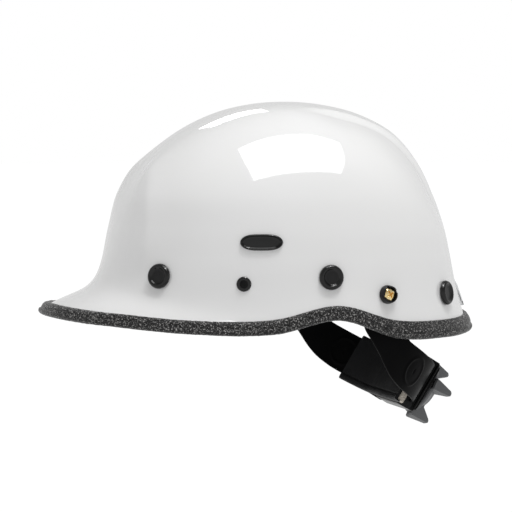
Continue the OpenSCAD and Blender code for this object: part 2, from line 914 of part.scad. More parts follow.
module detent_outline() {
    circle(detent_r - 1);
    for (i = [0 : detent_teeth - 1])
        rotate(i * 360 / detent_teeth)
            translate([detent_r - 1, 0])
                circle(0.7, $fn = 16);
}

// Leaf spring that clicks over the detent wheel
module detent_spring() {
    leaf = [[-28.2, 13.4], [-14, 13], [-5, 10], [0, 8.9], [5, 10], [14, 13], [28.2, 13.4]];
    color("silver")
        nape_frame()
            on_knob_axis(arm_reach + wheel_z)
                linear_extrude(1.2)
                    polygon(ribbon(leaf, 0, -0.6));
}

// Knob: a flanged hub with four prongs that narrow towards their tips
prong_count = 4;
prong_turn = -17;
prong_base = 5;
knob_screw_z = prong_base + 5;
module knob() {
    color([0.42, 0.43, 0.45])
        nape_frame()
            on_knob_axis(knob_e)
                difference() {
                    union() {
                        rotate_extrude()
                            polygon([[0, 0], [14, 0], [knob_r - 4, prong_base - 1],
                                [knob_r - 3.5, prong_base], [knob_r - 4, prong_base + 1.6],
                                [12.5, prong_base + 6], [11, prong_base + 7.5], [0, prong_base + 7.5]]);
                        for (i = [0 : prong_count - 1])
                            rotate(i * 360 / prong_count + prong_turn)
                                prong();
                    }
                    translate([0, 0, -1])
                        cylinder(r = shaft_r + fastener_gap, h = 9.2);
                    translate([0, 0, -1])
                        cylinder(r = 1.5 + fastener_gap, h = 30);
                    translate([0, 0, knob_screw_z])
                        cylinder(r = 3.6, h = 20);
                }
}

// One prong: its side view, cut to a taper seen along its radius
module prong() {
    tip = knob_depth;
    intersection() {
        rotate([90, 0, 0])
            translate([0, 0, -6])
                linear_extrude(12)
                    polygon([[6, prong_base - 1], [knob_r - 1, prong_base - 1], [knob_r, prong_base],
                        [knob_r - 1.8, tip - 1.4], [knob_r - 2.8, tip], [knob_r - 4.4, tip - 0.3],
                        [13, tip - 9], [6, tip - 9]]);
        rotate([90, 0, 90])
            linear_extrude(knob_r + 2)
                polygon([[-4.6, prong_base - 2], [4.6, prong_base - 2], [4.4, prong_base + 1],
                    [2.1, tip - 1.6], [1.1, tip], [-1.1, tip], [-2.1, tip - 1.6], [-4.4, prong_base + 1]]);
    }
}

module knob_screw() {
    color("silver")
        nape_frame()
            on_knob_axis(knob_e + knob_screw_z)
                difference() {
                    rotate_extrude()
                        polygon([[0, -9.5], [1.5, -9.5], [1.5, 0.1], [3.3, 0.1], [3.3, 1], [2.6, 1.9],
                            [0, 2.2]]);
                    for (turn = [0, 90])
                        rotate([0, 0, turn])
                            translate([-1.8, -0.4, 1])
                                cube([3.6, 0.8, 3]);
                }
}

// Comfort sleeve inside the nape band, over its foam; it reaches further round on the right
pad_side = arm_side - 6;
pad_reach = back_e - 0.3;
pad_top = arm_top + 1.5;
pad_bottom = arm_bottom - 5;
function pad_pt(u) = [arm_flat, arm_lead]
    + oval_pt(pad_side - arm_flat, pad_reach - arm_lead, arm_square, u);
function pad_plan(left_u, right_u) = concat(
    [for (u = [left_u : 4 : 88]) pad_pt(u)],
    [for (u = [88 : -4 : right_u]) let (p = pad_pt(u)) [-p[0], p[1]]]);

module nape_pad() {
    color([0.05, 0.05, 0.06])
        nape_frame()
            translate([0, 0, pad_bottom])
                linear_extrude(pad_top - pad_bottom)
                    polygon(ribbon(pad_plan(64, 52), -7.2, -5.2));
}

module nape_pad_foam() {
    color([0.86, 0.82, 0.74])
        nape_frame()
            translate([0, 0, pad_bottom + 0.8])
                linear_extrude(pad_top - pad_bottom - 2)
                    polygon(ribbon(pad_plan(64, 56), -5, -0.4));
}

shell();
edge_trim();
harness_plugs();
harness_keys();
plug_retainers();
visor_sockets();
screw_collars();
brass_screws();
pivot_bushes();
pivot_clips();
badge_left();
badge_right();
goggle_clip();
goggle_clip_rivets();
impact_liner();
crown_strap_left();
crown_strap_right();
crown_strap_cross();
crown_patch();
headband();
headband_tabs();
brow_pad();
chin_strap_left();
chin_strap_right();
chin_slider();
buckle_female();
buckle_male();
nape_arm_left();
nape_arm_right();
rack_left();
rack_right();
ratchet_back();
ratchet_cover();
ratchet_screws();
detent_spring();
pinion();
knob();
knob_screw();
nape_pad();
nape_pad_foam();
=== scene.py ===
import math

import bmesh
import bpy
import numpy as np
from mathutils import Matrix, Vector


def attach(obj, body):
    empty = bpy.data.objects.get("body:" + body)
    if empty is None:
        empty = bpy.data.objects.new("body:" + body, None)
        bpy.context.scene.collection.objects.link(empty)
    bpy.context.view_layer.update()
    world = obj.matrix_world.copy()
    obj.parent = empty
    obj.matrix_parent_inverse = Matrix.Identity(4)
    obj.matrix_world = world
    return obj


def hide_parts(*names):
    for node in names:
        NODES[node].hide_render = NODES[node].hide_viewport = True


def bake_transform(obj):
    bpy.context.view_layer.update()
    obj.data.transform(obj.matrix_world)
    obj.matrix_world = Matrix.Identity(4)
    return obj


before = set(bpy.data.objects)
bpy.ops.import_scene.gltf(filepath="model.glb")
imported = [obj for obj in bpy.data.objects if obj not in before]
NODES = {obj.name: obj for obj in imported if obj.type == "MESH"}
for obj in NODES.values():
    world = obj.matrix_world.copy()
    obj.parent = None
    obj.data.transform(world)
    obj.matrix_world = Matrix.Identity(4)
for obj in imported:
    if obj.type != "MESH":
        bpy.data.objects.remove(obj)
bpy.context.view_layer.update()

MM = 0.001


# ---- camera, floor and light

AIM_POINT = Vector((0, 0, 0.032))
AZIMUTH, ELEVATION, DISTANCE = math.radians(74), math.radians(3), 1.8
BACK = Vector((math.sin(AZIMUTH) * math.cos(ELEVATION), -math.cos(AZIMUTH) * math.cos(ELEVATION),
               math.sin(ELEVATION)))
RIGHT = Vector((math.cos(AZIMUTH), math.sin(AZIMUTH), 0))
UP = BACK.cross(RIGHT)
SHIFT_LEFT, SHIFT_UP = 0.018, 0.0105
SENSOR_WIDTH, LENS, CLIP_END = 36, 168.75, 60


def turned_to(obj, direction):
    """Turns a camera or light so that it looks along a direction."""
    obj.rotation_mode = "QUATERNION"
    obj.rotation_quaternion = Vector(direction).to_track_quat("-Z", "Y")


def add(name, data):
    obj = bpy.data.objects.new(name, data)
    bpy.context.scene.collection.objects.link(obj)
    return obj


camera = add("camera", bpy.data.cameras.new("camera"))
camera.data.sensor_width = SENSOR_WIDTH
camera.data.lens = LENS
camera.data.clip_end = CLIP_END
camera.location = AIM_POINT + DISTANCE * BACK - SHIFT_LEFT * RIGHT + SHIFT_UP * UP
turned_to(camera, -BACK)
bpy.context.scene.camera = camera
bpy.context.scene.view_settings.view_transform = "Standard"


# ---- materials

class Nodes:
    """Builds a procedural material or world: each method adds a node and gives back its output."""

    SOCKETS = {"color": "Base Color", "rough": "Roughness", "metal": "Metallic", "normal": "Normal",
               "coat": "Coat Weight", "coat_rough": "Coat Roughness", "sheen": "Sheen Weight",
               "sheen_rough": "Sheen Roughness", "specular": "Specular IOR Level", "ior": "IOR",
               "clear": "Transmission Weight"}

    def __init__(self, name, store=bpy.data.materials, shader="Principled BSDF"):
        self.block = store.new(name)
        self.block.use_nodes = True
        self.tree = self.block.node_tree
        self.shader = self.tree.nodes[shader]

    def join(self, source, socket):
        if isinstance(source, bpy.types.NodeSocket):
            self.tree.links.new(source, socket)
        else:
            socket.default_value = source

    def new(self, kind, inputs, **settings):
        """A node with its settings, and its inputs set to values or joined to other outputs."""
        node = self.tree.nodes.new(kind)
        for key, value in settings.items():
            setattr(node, key, value)
        for key, value in inputs.items():
            self.join(value, node.inputs[key])
        return node

    def place(self, kind="Object", scale=(1, 1, 1), turn=(0, 0, 0)):
        """Coordinates in metres, or along a strip for UV, times a scale."""
        at = self.new("ShaderNodeTexCoord", {}).outputs[kind]
        inputs = {"Vector": at, "Scale": scale, "Rotation": turn}
        return self.new("ShaderNodeMapping", inputs).outputs["Vector"]

    def noise(self, where, scale, detail=3, rough=0.5, distortion=0, output="Fac"):
        inputs = {"Vector": where, "Scale": scale, "Detail": detail, "Roughness": rough,
                  "Distortion": distortion}
        return self.new("ShaderNodeTexNoise", inputs).outputs[output]

    def cells(self, where, scale, spread=1):
        inputs = {"Vector": where, "Scale": scale, "Randomness": spread}
        return self.new("ShaderNodeTexVoronoi", inputs).outputs["Distance"]

    def wave(self, where, scale, direction):
        inputs = {"Vector": where, "Scale": scale, "Distortion": 0, "Detail": 1}
        return self.new("ShaderNodeTexWave", inputs, bands_direction=direction).outputs["Fac"]

    def math(self, operation, a, b):
        return self.new("ShaderNodeMath", {0: a, 1: b}, operation=operation).outputs[0]

    def span(self, value, low, high, new_low, new_high):
        """A value carried from the range low..high to the range new_low..new_high."""
        inputs = {"Value": value, "From Min": low, "From Max": high, "To Min": new_low, "To Max": new_high}
        return self.new("ShaderNodeMapRange", inputs).outputs["Result"]

    def spread(self, value, new_low=0, new_high=1):
        """A noise value's usual range, 0.3 to 0.7, carried to a new one."""
        return self.span(value, 0.3, 0.7, new_low, new_high)

    def mix(self, share, a, b):
        inputs = {0: share, 6: (*a, 1), 7: (*b, 1)}
        return self.new("ShaderNodeMix", inputs, data_type="RGBA").outputs[2]

    def bump(self, height, distance, strength=1.0):
        inputs = {"Height": height, "Distance": distance, "Strength": strength}
        return self.new("ShaderNodeBump", inputs).outputs["Normal"]

    def finish(self, **sockets):
        for key, value in sockets.items():
            if key == "color" and not isinstance(value, bpy.types.NodeSocket):
                value = (*value, 1)
            self.join(value, self.shader.inputs[self.SOCKETS[key]])
        return self.block


def gelcoat_white():
    m = Nodes("gelcoat_white")
    at = m.place()
    cloud = m.noise(at, 9, 4)
    peel = m.noise(at, 240, 2)
    haze = m.noise(at, 38, 5, 0.6)
    return m.finish(
        color=m.mix(m.span(cloud, 0.35, 0.65, 0, 1), (0.775, 0.775, 0.77), (0.79, 0.79, 0.79)),
        rough=m.span(haze, 0.35, 0.75, 0.035, 0.075),
        normal=m.bump(peel, 0.00004, 0.35), coat=1.0, coat_rough=0.02, specular=0.7)


def shell_inside():
    """The unpolished inner face: resin with a faint fibre print."""
    m = Nodes("shell_inside")
    at = m.place()
    fibre = m.noise(m.place(scale=(1, 7, 1), turn=(0.4, 0.2, 0.6)), 120, 5, 0.65)
    blotch = m.noise(at, 22, 4)
    return m.finish(
        color=m.mix(blotch, (0.60, 0.60, 0.58), (0.72, 0.72, 0.70)),
        rough=m.spread(fibre, 0.45, 0.7), normal=m.bump(fibre, 0.0005, 0.7))


def grained_vinyl():
    """Black vinyl with rounded grains about a millimetre wide, and pale specks painted on them as glints,
    brightest on the raised grains.
    """
    m = Nodes("grained_vinyl")
    at = m.place()
    wobble = m.noise(at, 420, 2, output="Color")
    small = m.new("ShaderNodeVectorMath", {0: wobble, "Scale": 0.0014}, operation="SCALE").outputs[0]
    warped = m.new("ShaderNodeVectorMath", {0: at, 1: small}, operation="ADD").outputs[0]
    grain = m.cells(warped, 720)
    fine = m.noise(at, 1300, 3, 0.6)
    crease = m.noise(at, 430, 4, 0.65, 0.6)
    worn = m.noise(at, 55, 3)
    rough_ground = m.math("ADD", m.math("MULTIPLY", fine, 0.25), m.math("MULTIPLY", crease, 0.7))
    height = m.math("SUBTRACT", rough_ground, m.math("MULTIPLY", grain, 0.95))
    # Pale specks in the colour are painted glints, stronger on the raised grains.
    painted_glints = m.noise(at, 950, 2, 0.5)
    shade = m.math("MULTIPLY", m.span(painted_glints, 0.55, 0.61, 0, 1), m.span(height, -0.25, 0.3, 0.2, 1))
    return m.finish(
        color=m.mix(shade, (0.0015, 0.0015, 0.0015), (0.42, 0.41, 0.40)),
        rough=m.math("ADD", m.span(height, -0.2, 0.4, 0.36, 0.15), m.span(worn, 0.4, 0.7, 0, 0.06)),
        normal=m.bump(height, 0.0012, 1.0), specular=0.35, coat=0.12, coat_rough=0.2)


def moulded(name, dark, light, rough_low, rough_high, scale=900, depth=0.00006, specular=0.5):
    """Moulded plastic: a fine spark-eroded texture, soft tone variation and rubbed patches."""
    m = Nodes(name)
    at = m.place()
    fine = m.noise(at, scale, 4, 0.6)
    flow = m.noise(at, 26, 4, 0.55)
    rub = m.noise(m.place(scale=(1, 1, 6), turn=(0.3, 0.5, 0.2)), 70, 4, 0.7)
    return m.finish(
        color=m.mix(m.spread(flow), dark, light),
        rough=m.math("ADD", m.spread(flow, rough_low, rough_high),
                     m.span(rub, 0.55, 0.8, 0, -0.06)),
        normal=m.bump(fine, depth, 0.8), specular=specular)


def metal(name, dark, light, rough, scale=500):
    m = Nodes(name)
    at = m.place()
    brushed = m.noise(m.place(scale=(1, 1, 12)), scale, 3, 0.6)
    tint = m.noise(at, 210, 3)
    return m.finish(
        color=m.mix(m.spread(tint), dark, light), metal=1.0,
        rough=m.spread(brushed, rough, rough + 0.14), normal=m.bump(brushed, 0.00003, 0.5))


def webbing(name, dark, light):
    """Polyester webbing: ribs across the strap, with the yarns in a plain weave along it."""
    m = Nodes(name)
    strip = m.place("UV")
    ribs = m.wave(strip, 1000 / 1.6 / 6.28, "Y")
    yarns = m.wave(strip, 1000 / 1.05 / 6.28, "X")
    fuzz = m.noise(m.place(), 2400, 3, 0.6)
    fade = m.noise(m.place(), 40, 4)
    weave = m.math("ADD", m.math("MULTIPLY", ribs, yarns), m.math("MULTIPLY", fuzz, 0.35))
    # The colour follows the weave: lighter on the raised ribs and yarns and darker between them, which is
    # painted shade of the weave, faded at random.
    return m.finish(
        color=m.mix(m.math("MULTIPLY", weave, m.spread(fade, 0.7, 1)), dark, light),
        rough=m.span(weave, 0, 1, 0.85, 0.6), normal=m.bump(weave, 0.00035, 0.9),
        sheen=0.25, sheen_rough=0.5)


def satin_cloth():
    """Satin: long floats that run along the band, so it shines in fine streaks; the lighter streaks in its
    colour along the floats are painted sheen.
    """
    m = Nodes("satin_cloth")
    strip = m.place("UV", scale=(1, 14, 1))
    floats_and_painted_sheen = m.noise(strip, 260, 4, 0.65)
    streaks = m.noise(m.place("UV", scale=(1, 30, 1)), 30, 3)
    slub = m.noise(m.place(), 90, 3)
    # The colour's lighter streaks along the floats are painted sheen.
    return m.finish(
        color=m.mix(floats_and_painted_sheen, (0.004, 0.004, 0.0042), (0.036, 0.0365, 0.038)),
        rough=m.math("ADD", m.spread(streaks, 0.3, 0.46), m.span(slub, 0.4, 0.7, 0, 0.05)),
        normal=m.bump(floats_and_painted_sheen, 0.00022, 0.8), sheen=0.02, sheen_rough=0.3, specular=0.05)


def foam(name, dark, light, bead, depth):
    m = Nodes(name)
    at = m.place()
    beads = m.cells(at, 1 / bead)
    pores = m.noise(at, 1900, 3, 0.7)
    stain = m.noise(at, 30, 4)
    height = m.math("SUBTRACT", m.math("MULTIPLY", pores, 0.5), beads)
    # The colour is darker where the height is low, between the beads and in the pores: painted shade in the
    # hollows, under a random stain.
    shade = m.math("MULTIPLY", m.span(height, -0.8, 0.4, 0, 1), m.spread(stain, 0.75, 1))
    return m.finish(
        color=m.mix(shade, dark, light), rough=0.92, normal=m.bump(height, depth, 0.8),
        sheen=0.15, sheen_rough=0.6)


def sweat_leather():
    """Soft leather with a pebbled grain and rows of punched holes."""
    m = Nodes("sweat_leather")
    strip = m.place("UV")
    at = m.place()
    grain = m.cells(at, 1100)
    wrinkle = m.noise(at, 260, 5, 0.6)
    holes = m.cells(strip, 165, 0)
    punched = m.span(holes, 0.16, 0.22, 0, 1)
    height = m.math("SUBTRACT", m.math("ADD", wrinkle, punched), m.math("MULTIPLY", grain, 0.4))
    # The colour is painted shade: near black in the punched holes and darker in the hollows of the wrinkles.
    return m.finish(
        color=m.mix(m.math("MULTIPLY", punched, m.spread(wrinkle, 0.4, 1)), (0.002, 0.002, 0.002),
                    (0.036, 0.033, 0.031)),
        rough=m.span(grain, 0, 0.6, 0.5, 0.75), normal=m.bump(height, 0.0006, 0.8), specular=0.4)


def clear_plastic():
    m = Nodes("clear_plastic")
    smear = m.noise(m.place(), 60, 4)
    return m.finish(color=(0.97, 0.985, 0.99), rough=m.span(smear, 0.3, 0.75, 0.01, 0.09),
                    clear=1.0, ior=1.5, normal=m.bump(m.noise(m.place(), 45, 2), 0.0003, 0.4))


def grey(level, blue=0.0):
    """A grey, with a little more blue if it is cold."""
    return (level, level, level + blue)


MATERIALS = {
    "shell": gelcoat_white(),
    "shell_inside": shell_inside(),
    "trim": grained_vinyl(),
    "black_satin": moulded("satin_nylon", grey(0.004), grey(0.009, 0.0005), 0.26, 0.38, 700, 0.00005, 0.3),
    "black_gloss": moulded("gloss_black", grey(0.001), grey(0.0025), 0.05, 0.11, 300, 0.00002, 0.45),
    "steel": metal("zinc_steel", grey(0.50, -0.01), grey(0.68, -0.01), 0.24),
    "brass": metal("passivated_brass", (0.80, 0.52, 0.16), (0.98, 0.86, 0.52), 0.1, 300),
    "nylon": moulded("black_nylon", grey(0.016, 0.001), grey(0.03, 0.001), 0.38, 0.52, 800, 0.00008),
    "clear": clear_plastic(),
    "foam": foam("liner_foam", grey(0.010, 0.001), grey(0.046, 0.002), 0.0032, 0.0007),
    "webbing": webbing("black_webbing", grey(0.004, 0.001), grey(0.034, 0.002)),
    "patch": sweat_leather(),
    "band": moulded("band_plastic", grey(0.022, 0.001), grey(0.036, 0.001), 0.4, 0.55, 500, 0.0001),
    "brow": sweat_leather(),
    "arm": moulded("arm_plastic", grey(0.0042, 0.0002), grey(0.0066, 0.0002), 0.28, 0.36, 650, 0.00007,
                   0.012),
    "housing": moulded("housing_plastic", grey(0.003, 0.0002), grey(0.005, 0.0002), 0.14, 0.24, 600, 0.00005,
                       0.06),
    "knob": moulded("grey_nylon", (0.105, 0.108, 0.112), (0.135, 0.138, 0.142), 0.34, 0.48, 600, 0.00009),
    "satin": satin_cloth(),
    "cream": foam("cream_foam", (0.50, 0.45, 0.38), (0.80, 0.745, 0.66), 0.0011, 0.0005),
    "thread": webbing("black_thread", grey(0.01), grey(0.07, 0.002)),
}


# ---- meshes

def finished(name, vertices, faces, material, uvs=None, sharp=40.0):
    """A mesh object from points in millimetres, smooth but for edges sharper than the given angle."""
    mesh = bpy.data.meshes.new(name)
    mesh.from_pydata((np.asarray(vertices, float) * MM).tolist(), [], faces)
    if uvs is not None:
        layer = mesh.uv_layers.new(name="UVMap")
        layer.data.foreach_set("uv", (np.asarray(uvs, float) * MM).ravel())
    mesh.update()
    work = bmesh.new()
    work.from_mesh(mesh)
    bmesh.ops.recalc_face_normals(work, faces=work.faces)
    work.to_mesh(mesh)
    work.free()
    mesh.shade_smooth()
    if sharp < 180:
        mesh.set_sharp_from_angle(angle=math.radians(sharp))
    mesh.materials.append(MATERIALS[material])
    obj = add(name, mesh)
    return obj


def lattice(rings, closed=False, first=0, uv=None):
    """Faces over rings of points (stations x ring), and their corner UVs from running distances."""
    rows, cols = rings.shape[:2]
    faces, corners = [], []
    for i in range(rows if closed else rows - 1):
        k = (i + 1) % rows
        for j in range(cols):
            m = (j + 1) % cols
            faces.append((first + i * cols + j, first + i * cols + m,
                          first + k * cols + m, first + k * cols + j))
            if uv is not None:
                u, v = uv
                corners += [(u[j], v[i]), (u[j + 1], v[i]), (u[j + 1], v[i + 1]), (u[j], v[i + 1])]
    return faces, corners


def end_faces(rings, first=0):
    """Flat faces over the first and last rings."""
    rows, m = rings.shape[:2]
    last = first + (rows - 1) * m
    return [tuple(range(first, first + m)), tuple(range(last, last + m))]


def domed(points):
    """Faces over rings that start and end at a crown: a fan joins each end to one more point."""
    rows, m = points.shape[:2]
    top, low = rows * m, (rows - 1) * m
    faces = lattice(points)[0] + [(top, (j + 1) % m, j) for j in range(m)]
    faces += [(top + 1, low + j, low + (j + 1) % m) for j in range(m)]
    return [face[::-1] for face in faces]


def running(points, wrap=False):
    """Distance along a row of points, with the way back to the first one if it wraps."""
    steps = np.linalg.norm(np.diff(points, axis=0), axis=1)
    if wrap:
        steps = np.append(steps, np.linalg.norm(points[0] - points[-1]))
    return np.concatenate([[0], np.cumsum(steps)])


def tube(name, rings, material, closed=False, sharp=40.0):
    """A skin over rings of points (stations x ring x 3), with flat caps unless it closes on itself."""
    n, m = rings.shape[:2]
    across = running(rings[n // 2], True)
    faces, corners = lattice(rings, closed, 0, (across, running(rings[:, 0], closed)))
    if not closed:
        faces += [tuple(range(m))[::-1], tuple(range((n - 1) * m, n * m))]
        for ring in (0, n - 1):
            centre = rings[ring].mean(0)
            corners += [(p[0] - centre[0], p[2] - centre[2]) for p in rings[ring]]
    return finished(name, rings.reshape(-1, 3), faces, material, corners, sharp)


def arrays(*values):
    return np.broadcast_arrays(*(np.asarray(v, float) for v in values))


def unit(v):
    v = np.asarray(v, float)
    return v / np.maximum(np.linalg.norm(v, axis=-1, keepdims=True), 1e-12)


def catmull(a, b, c, d, f):
    """Catmull-Rom values a fraction f of the way from b to c."""
    return 0.5 * (2 * b + (c - a) * f + (2 * a - 5 * b + 4 * c - d) * f ** 2
                  + (3 * b - a - 3 * c + d) * f ** 3)


def sampled(at, distance, values):
    """Rows of values, read off between their running distances."""
    return np.column_stack([np.interp(at, distance, column) for column in values.T])


def spline(points, step, closed=False):
    """Catmull-Rom curve through the points, resampled at about an even step."""
    points = np.asarray(points, float)
    if closed:
        padded = np.vstack([points[-1:], points, points[:2]])
    else:
        padded = np.vstack([2 * points[0] - points[1], points, 2 * points[-1] - points[-2]])
    f = np.linspace(0, 1, 17)[:-1, None]
    parts = [catmull(*four, f) for four in zip(padded, padded[1:], padded[2:], padded[3:])]
    dense = np.vstack(parts + ([] if closed else [points[-1:]]))
    if closed:
        dense = np.vstack([dense, dense[:1]])
    length = running(dense)
    count = max(3, int(round(length[-1] / step)) + 1)
    at = np.linspace(0, length[-1], count)
    out = sampled(at, length, dense)
    return out[:-1] if closed else out


def rounded_section(width, thickness, count):
    """Closed outline of a flat strip's section: across (x) and through (y), with rounded edges."""
    edge = thickness / 2
    flat = width / 2 - edge
    turn = np.radians(np.linspace(-90, 90, 5))
    right = np.column_stack([flat + edge * np.cos(turn), edge * np.sin(turn)])
    top = np.column_stack([np.linspace(flat, -flat, count)[1:-1], np.full(count - 2, edge)])
    return np.vstack([right, top, -right, -top])


def around(step):
    """Angles round a circle, a step in degrees apart."""
    return np.radians(np.arange(0, 360, step))


def hand(side):
    return "left" if side > 0 else "right"


def off_path(path, out, distance):
    """Points at distances (stations x ring, or 1 x ring) off a flat path, along its outward normals."""
    return path[:, None, :] + distance[..., None] * out[:, None, :]


def step_up(x, low, high):
    t = np.clip((np.asarray(x, float) - low) / (high - low), 0, 1)
    return t * t * (3 - 2 * t)


_seeded = np.random.default_rng(7)
WAVE_COUNT = 40
WAVES = unit(_seeded.normal(size=(WAVE_COUNT, 3)))
PHASES = _seeded.uniform(0, 2 * math.pi, WAVE_COUNT)


def ripple(points, size):
    """Smooth noise from about -1 to 1, with bumps of the given size in millimetres."""
    where = np.asarray(points, float)
    total = np.zeros(where.shape[:-1])
    for k, (direction, phase) in enumerate(zip(WAVES, PHASES)):
        total += np.sin(where @ direction * (2 * math.pi / size * (0.7 + 0.6 * k / WAVE_COUNT)) + phase)
    return total / math.sqrt(WAVE_COUNT) * 0.8


# ---- the shell's form, as in the CAD source

CROWN_H, CROWN_FRONT, CROWN_REAR, CROWN_SIDE = 158, 141, 116, 110
SHELL_T = 2.5
BRIM_FRONT, BRIM_REAR, BRIM_SIDE = 189, 134.5, 118
CROWN_ROWS = np.array([
    [0, 0, 0, 1, 3, 2.0],
    [0.19, 0.23, 0.25, 0.987, 3, 2.0],
    [0.38, 0.47, 0.47, 0.943, 3, 2.1],
    [0.58, 0.68, 0.67, 0.855, 4, 2.2],
    [0.765, 0.82, 0.83, 0.72, 5, 2.3],
    [0.885, 0.905, 0.93, 0.57, 6, 2.4],
    [0.957, 0.965, 0.98, 0.42, 8, 2.35],
    [1, 1, 1, 0.29, 9, 2.3]]) * [CROWN_FRONT, CROWN_REAR, CROWN_SIDE, CROWN_H, 1, 1]
BASE_V = 7
BASE_SHIFT = 9
RIM_Z = [6, 2.5, -2.5, -3, 6, -8, -10, -9, -7.5]
RIM_DROP = [30, 33, 38, 50, 60, 60, 55, 50, 45]
BASE_PULL = [32, 32, 24, 18, 18, 14, 14, 14, 14]
RIM_PULL = [32, 32, 22, 16, 14, 12, 12, 12, 12]
RIM_SQUARE = 2.1
RIM_STEP = 22.5


def along(rows, v, before, after):
    """Catmull-Rom values at positions v along a list, with its neighbours past both ends."""
    table = np.vstack([np.atleast_2d(before), rows, np.atleast_2d(after)])
    i = np.clip(np.floor(v).astype(int), 0, len(rows) - 2)
    f = (v - i)[..., None]
    return catmull(*(table[i + k] for k in range(4)), f)


def crown_row(v):
    top = CROWN_ROWS[1]
    return along(CROWN_ROWS, v, np.r_[-top[:3], top[3:]], 2 * CROWN_ROWS[-1] - CROWN_ROWS[-2])


def egg(front, rear, side, square, a):
    reach = np.where(np.cos(a) > 0, front, rear)
    return ((np.abs(np.cos(a)) / reach) ** square + (np.abs(np.sin(a)) / side) ** square) ** (-1 / square)


def crown_pt(a, v):
    s = crown_row(v)
    front, rear, side = (np.maximum(s[..., k], 1e-6) for k in range(3))
    r = egg(front, rear, side, s[..., 5], a)
    return np.stack([r * np.sin(a), s[..., 4] - r * np.cos(a), s[..., 3]], -1)


def rim_value(values, a):
    turned = np.abs((np.degrees(a) + 180) % 360 - 180)
    rows = np.array(values, float)[:, None]
    return along(rows, turned / RIM_STEP, rows[1], rows[7])[..., 0]


def rim_pt(a):
    r = egg(BRIM_FRONT, BRIM_REAR, BRIM_SIDE, RIM_SQUARE, a)
    return np.stack([r * np.sin(a), BASE_SHIFT - r * np.cos(a), rim_value(RIM_Z, a)], -1)


def rim_dir(a):
    drop = np.radians(rim_value(RIM_DROP, a))
    return np.stack([np.sin(a) * np.cos(drop), -np.cos(a) * np.cos(drop), -np.sin(drop)], -1)


def flare_pt(a, t):
    base = np.full_like(a, BASE_V)
    start, end = crown_pt(a, base), rim_pt(a)
    c1 = start + unit(start - crown_pt(a, base - 0.1)) * rim_value(BASE_PULL, a)[..., None]
    c2 = end - rim_dir(a) * rim_value(RIM_PULL, a)[..., None]
    t = t[..., None]
    s = 1 - t
    return s ** 3 * start + 3 * s * s * t * c1 + 3 * s * t * t * c2 + t ** 3 * end


def plain_shell(a, v):
    """Points of the shell's outer face at angles a from the front (radians) and levels v."""
    a, v = arrays(a, v)
    return np.where((v <= BASE_V)[..., None], crown_pt(a, np.minimum(v, BASE_V)),
                    flare_pt(a, np.clip(v - BASE_V, 0, 1.2)))


def shell_normal(a, v):
    dv = plain_shell(a, v + 0.01) - plain_shell(a, v - 0.01)
    da = plain_shell(a + 0.004, v) - plain_shell(a - 0.004, v)
    return unit(np.cross(dv, da))


def relief(p):
    """How far the moulding stands off the plain form: a ridged forehead panel and two sunk rear bands."""
    x, y, z = np.abs(p[..., 0]), p[..., 1], p[..., 2]
    arch = np.hypot(x / 57, np.maximum(z - 50, 0) / 64)
    front = step_up(-y, 45, 80) * step_up(z, 30, 56)
    corner = np.exp(-np.abs(np.where(arch < 1, (1 - arch) / 0.32, (arch - 1) / 0.17)) ** 1.5)
    panel = 2.6 * front * corner * step_up(x, 6, 30) - 0.5 * front * step_up(1 - arch, 0.1, 0.7)
    rear = step_up(y, -5, 38) * step_up(z, 52, 92)
    band = -2.9 * rear * step_up(x, 39, 49) * (1 - step_up(x, 53, 96))
    return panel + band


def recess(p):
    """The part of the relief that is sunk: the inner face and the liner give way to it."""
    return np.minimum(relief(p), 0)[..., None]


def shell_pt(a, v):
    a, v = arrays(a, v)
    p = plain_shell(a, v)
    return p + relief(p)[..., None] * shell_normal(a, v)


def stance(angle, level):
    """A point of the plain shell at (degrees, level), then its normal, sideways and upward directions."""
    a, v = np.array(math.radians(angle)), np.array(float(level))
    n = shell_normal(a, v)
    side = unit(np.cross([0, 0, 1], n))
    return plain_shell(a, v), n, side, np.cross(n, side)


def on_shell(angle, level, across, up, height):
    """Points near the shell's (degrees, level): millimetres across and up the face, then off it."""
    across, up, height = arrays(across, up, height)
    centre, _, side, rise = stance(angle, level)
    a, v = np.full(across.shape, math.radians(angle)), np.full(across.shape, float(level))
    for _ in range(4):
        p = plain_shell(a, v)
        da = (plain_shell(a + 0.002, v) - p) / 0.002
        dv = (plain_shell(a, v + 0.005) - p) / 0.005
        miss = np.stack([across - (p - centre) @ side, up - (p - centre) @ rise], -1)
        j = np.stack([np.stack([da @ side, dv @ side], -1), np.stack([da @ rise, dv @ rise], -1)], -2)
        change = np.linalg.solve(j, miss[..., None])[..., 0]
        a, v = a + change[..., 0], v + change[..., 1]
    return plain_shell(a, v) + height[..., None] * shell_normal(a, v)


# ---- shell and trim

def bored(obj, cutters):
    """Cuts the cutters out of an object for good, and removes them."""
    for cutter in cutters:
        modifier = obj.modifiers.new("bore", "BOOLEAN")
        modifier.operation = "DIFFERENCE"
        modifier.solver = "EXACT"
        modifier.object = cutter
    cut = bpy.data.meshes.new_from_object(obj.evaluated_get(bpy.context.evaluated_depsgraph_get()))
    obj.modifiers.clear()
    obj.data = cut
    for cutter in cutters:
        bpy.data.objects.remove(cutter)


def rod(centre, direction, radius, half, count=48):
    """A plain cylinder used as a cutter."""
    direction = unit(direction)
    side = unit(np.cross(direction, [0.3, 0.2, 1]))
    other = np.cross(direction, side)
    turn = np.linspace(0, 2 * math.pi, count, endpoint=False)[:, None]
    ring = radius * (np.cos(turn) * side + np.sin(turn) * other)
    vertices = np.vstack([centre - half * direction + ring, centre + half * direction + ring])
    faces = [(i, (i + 1) % count, count + (i + 1) % count, count + i) for i in range(count)]
    faces += [tuple(range(count))[::-1], tuple(range(count, 2 * count))]
    mesh = bpy.data.meshes.new("cutter")
    mesh.from_pydata((vertices * MM).tolist(), [], faces)
    return add("cutter", mesh)


SOCKET, SOCKET_BORE_R = (57, BASE_V + 0.3), 4.3
COLUMNS = 360


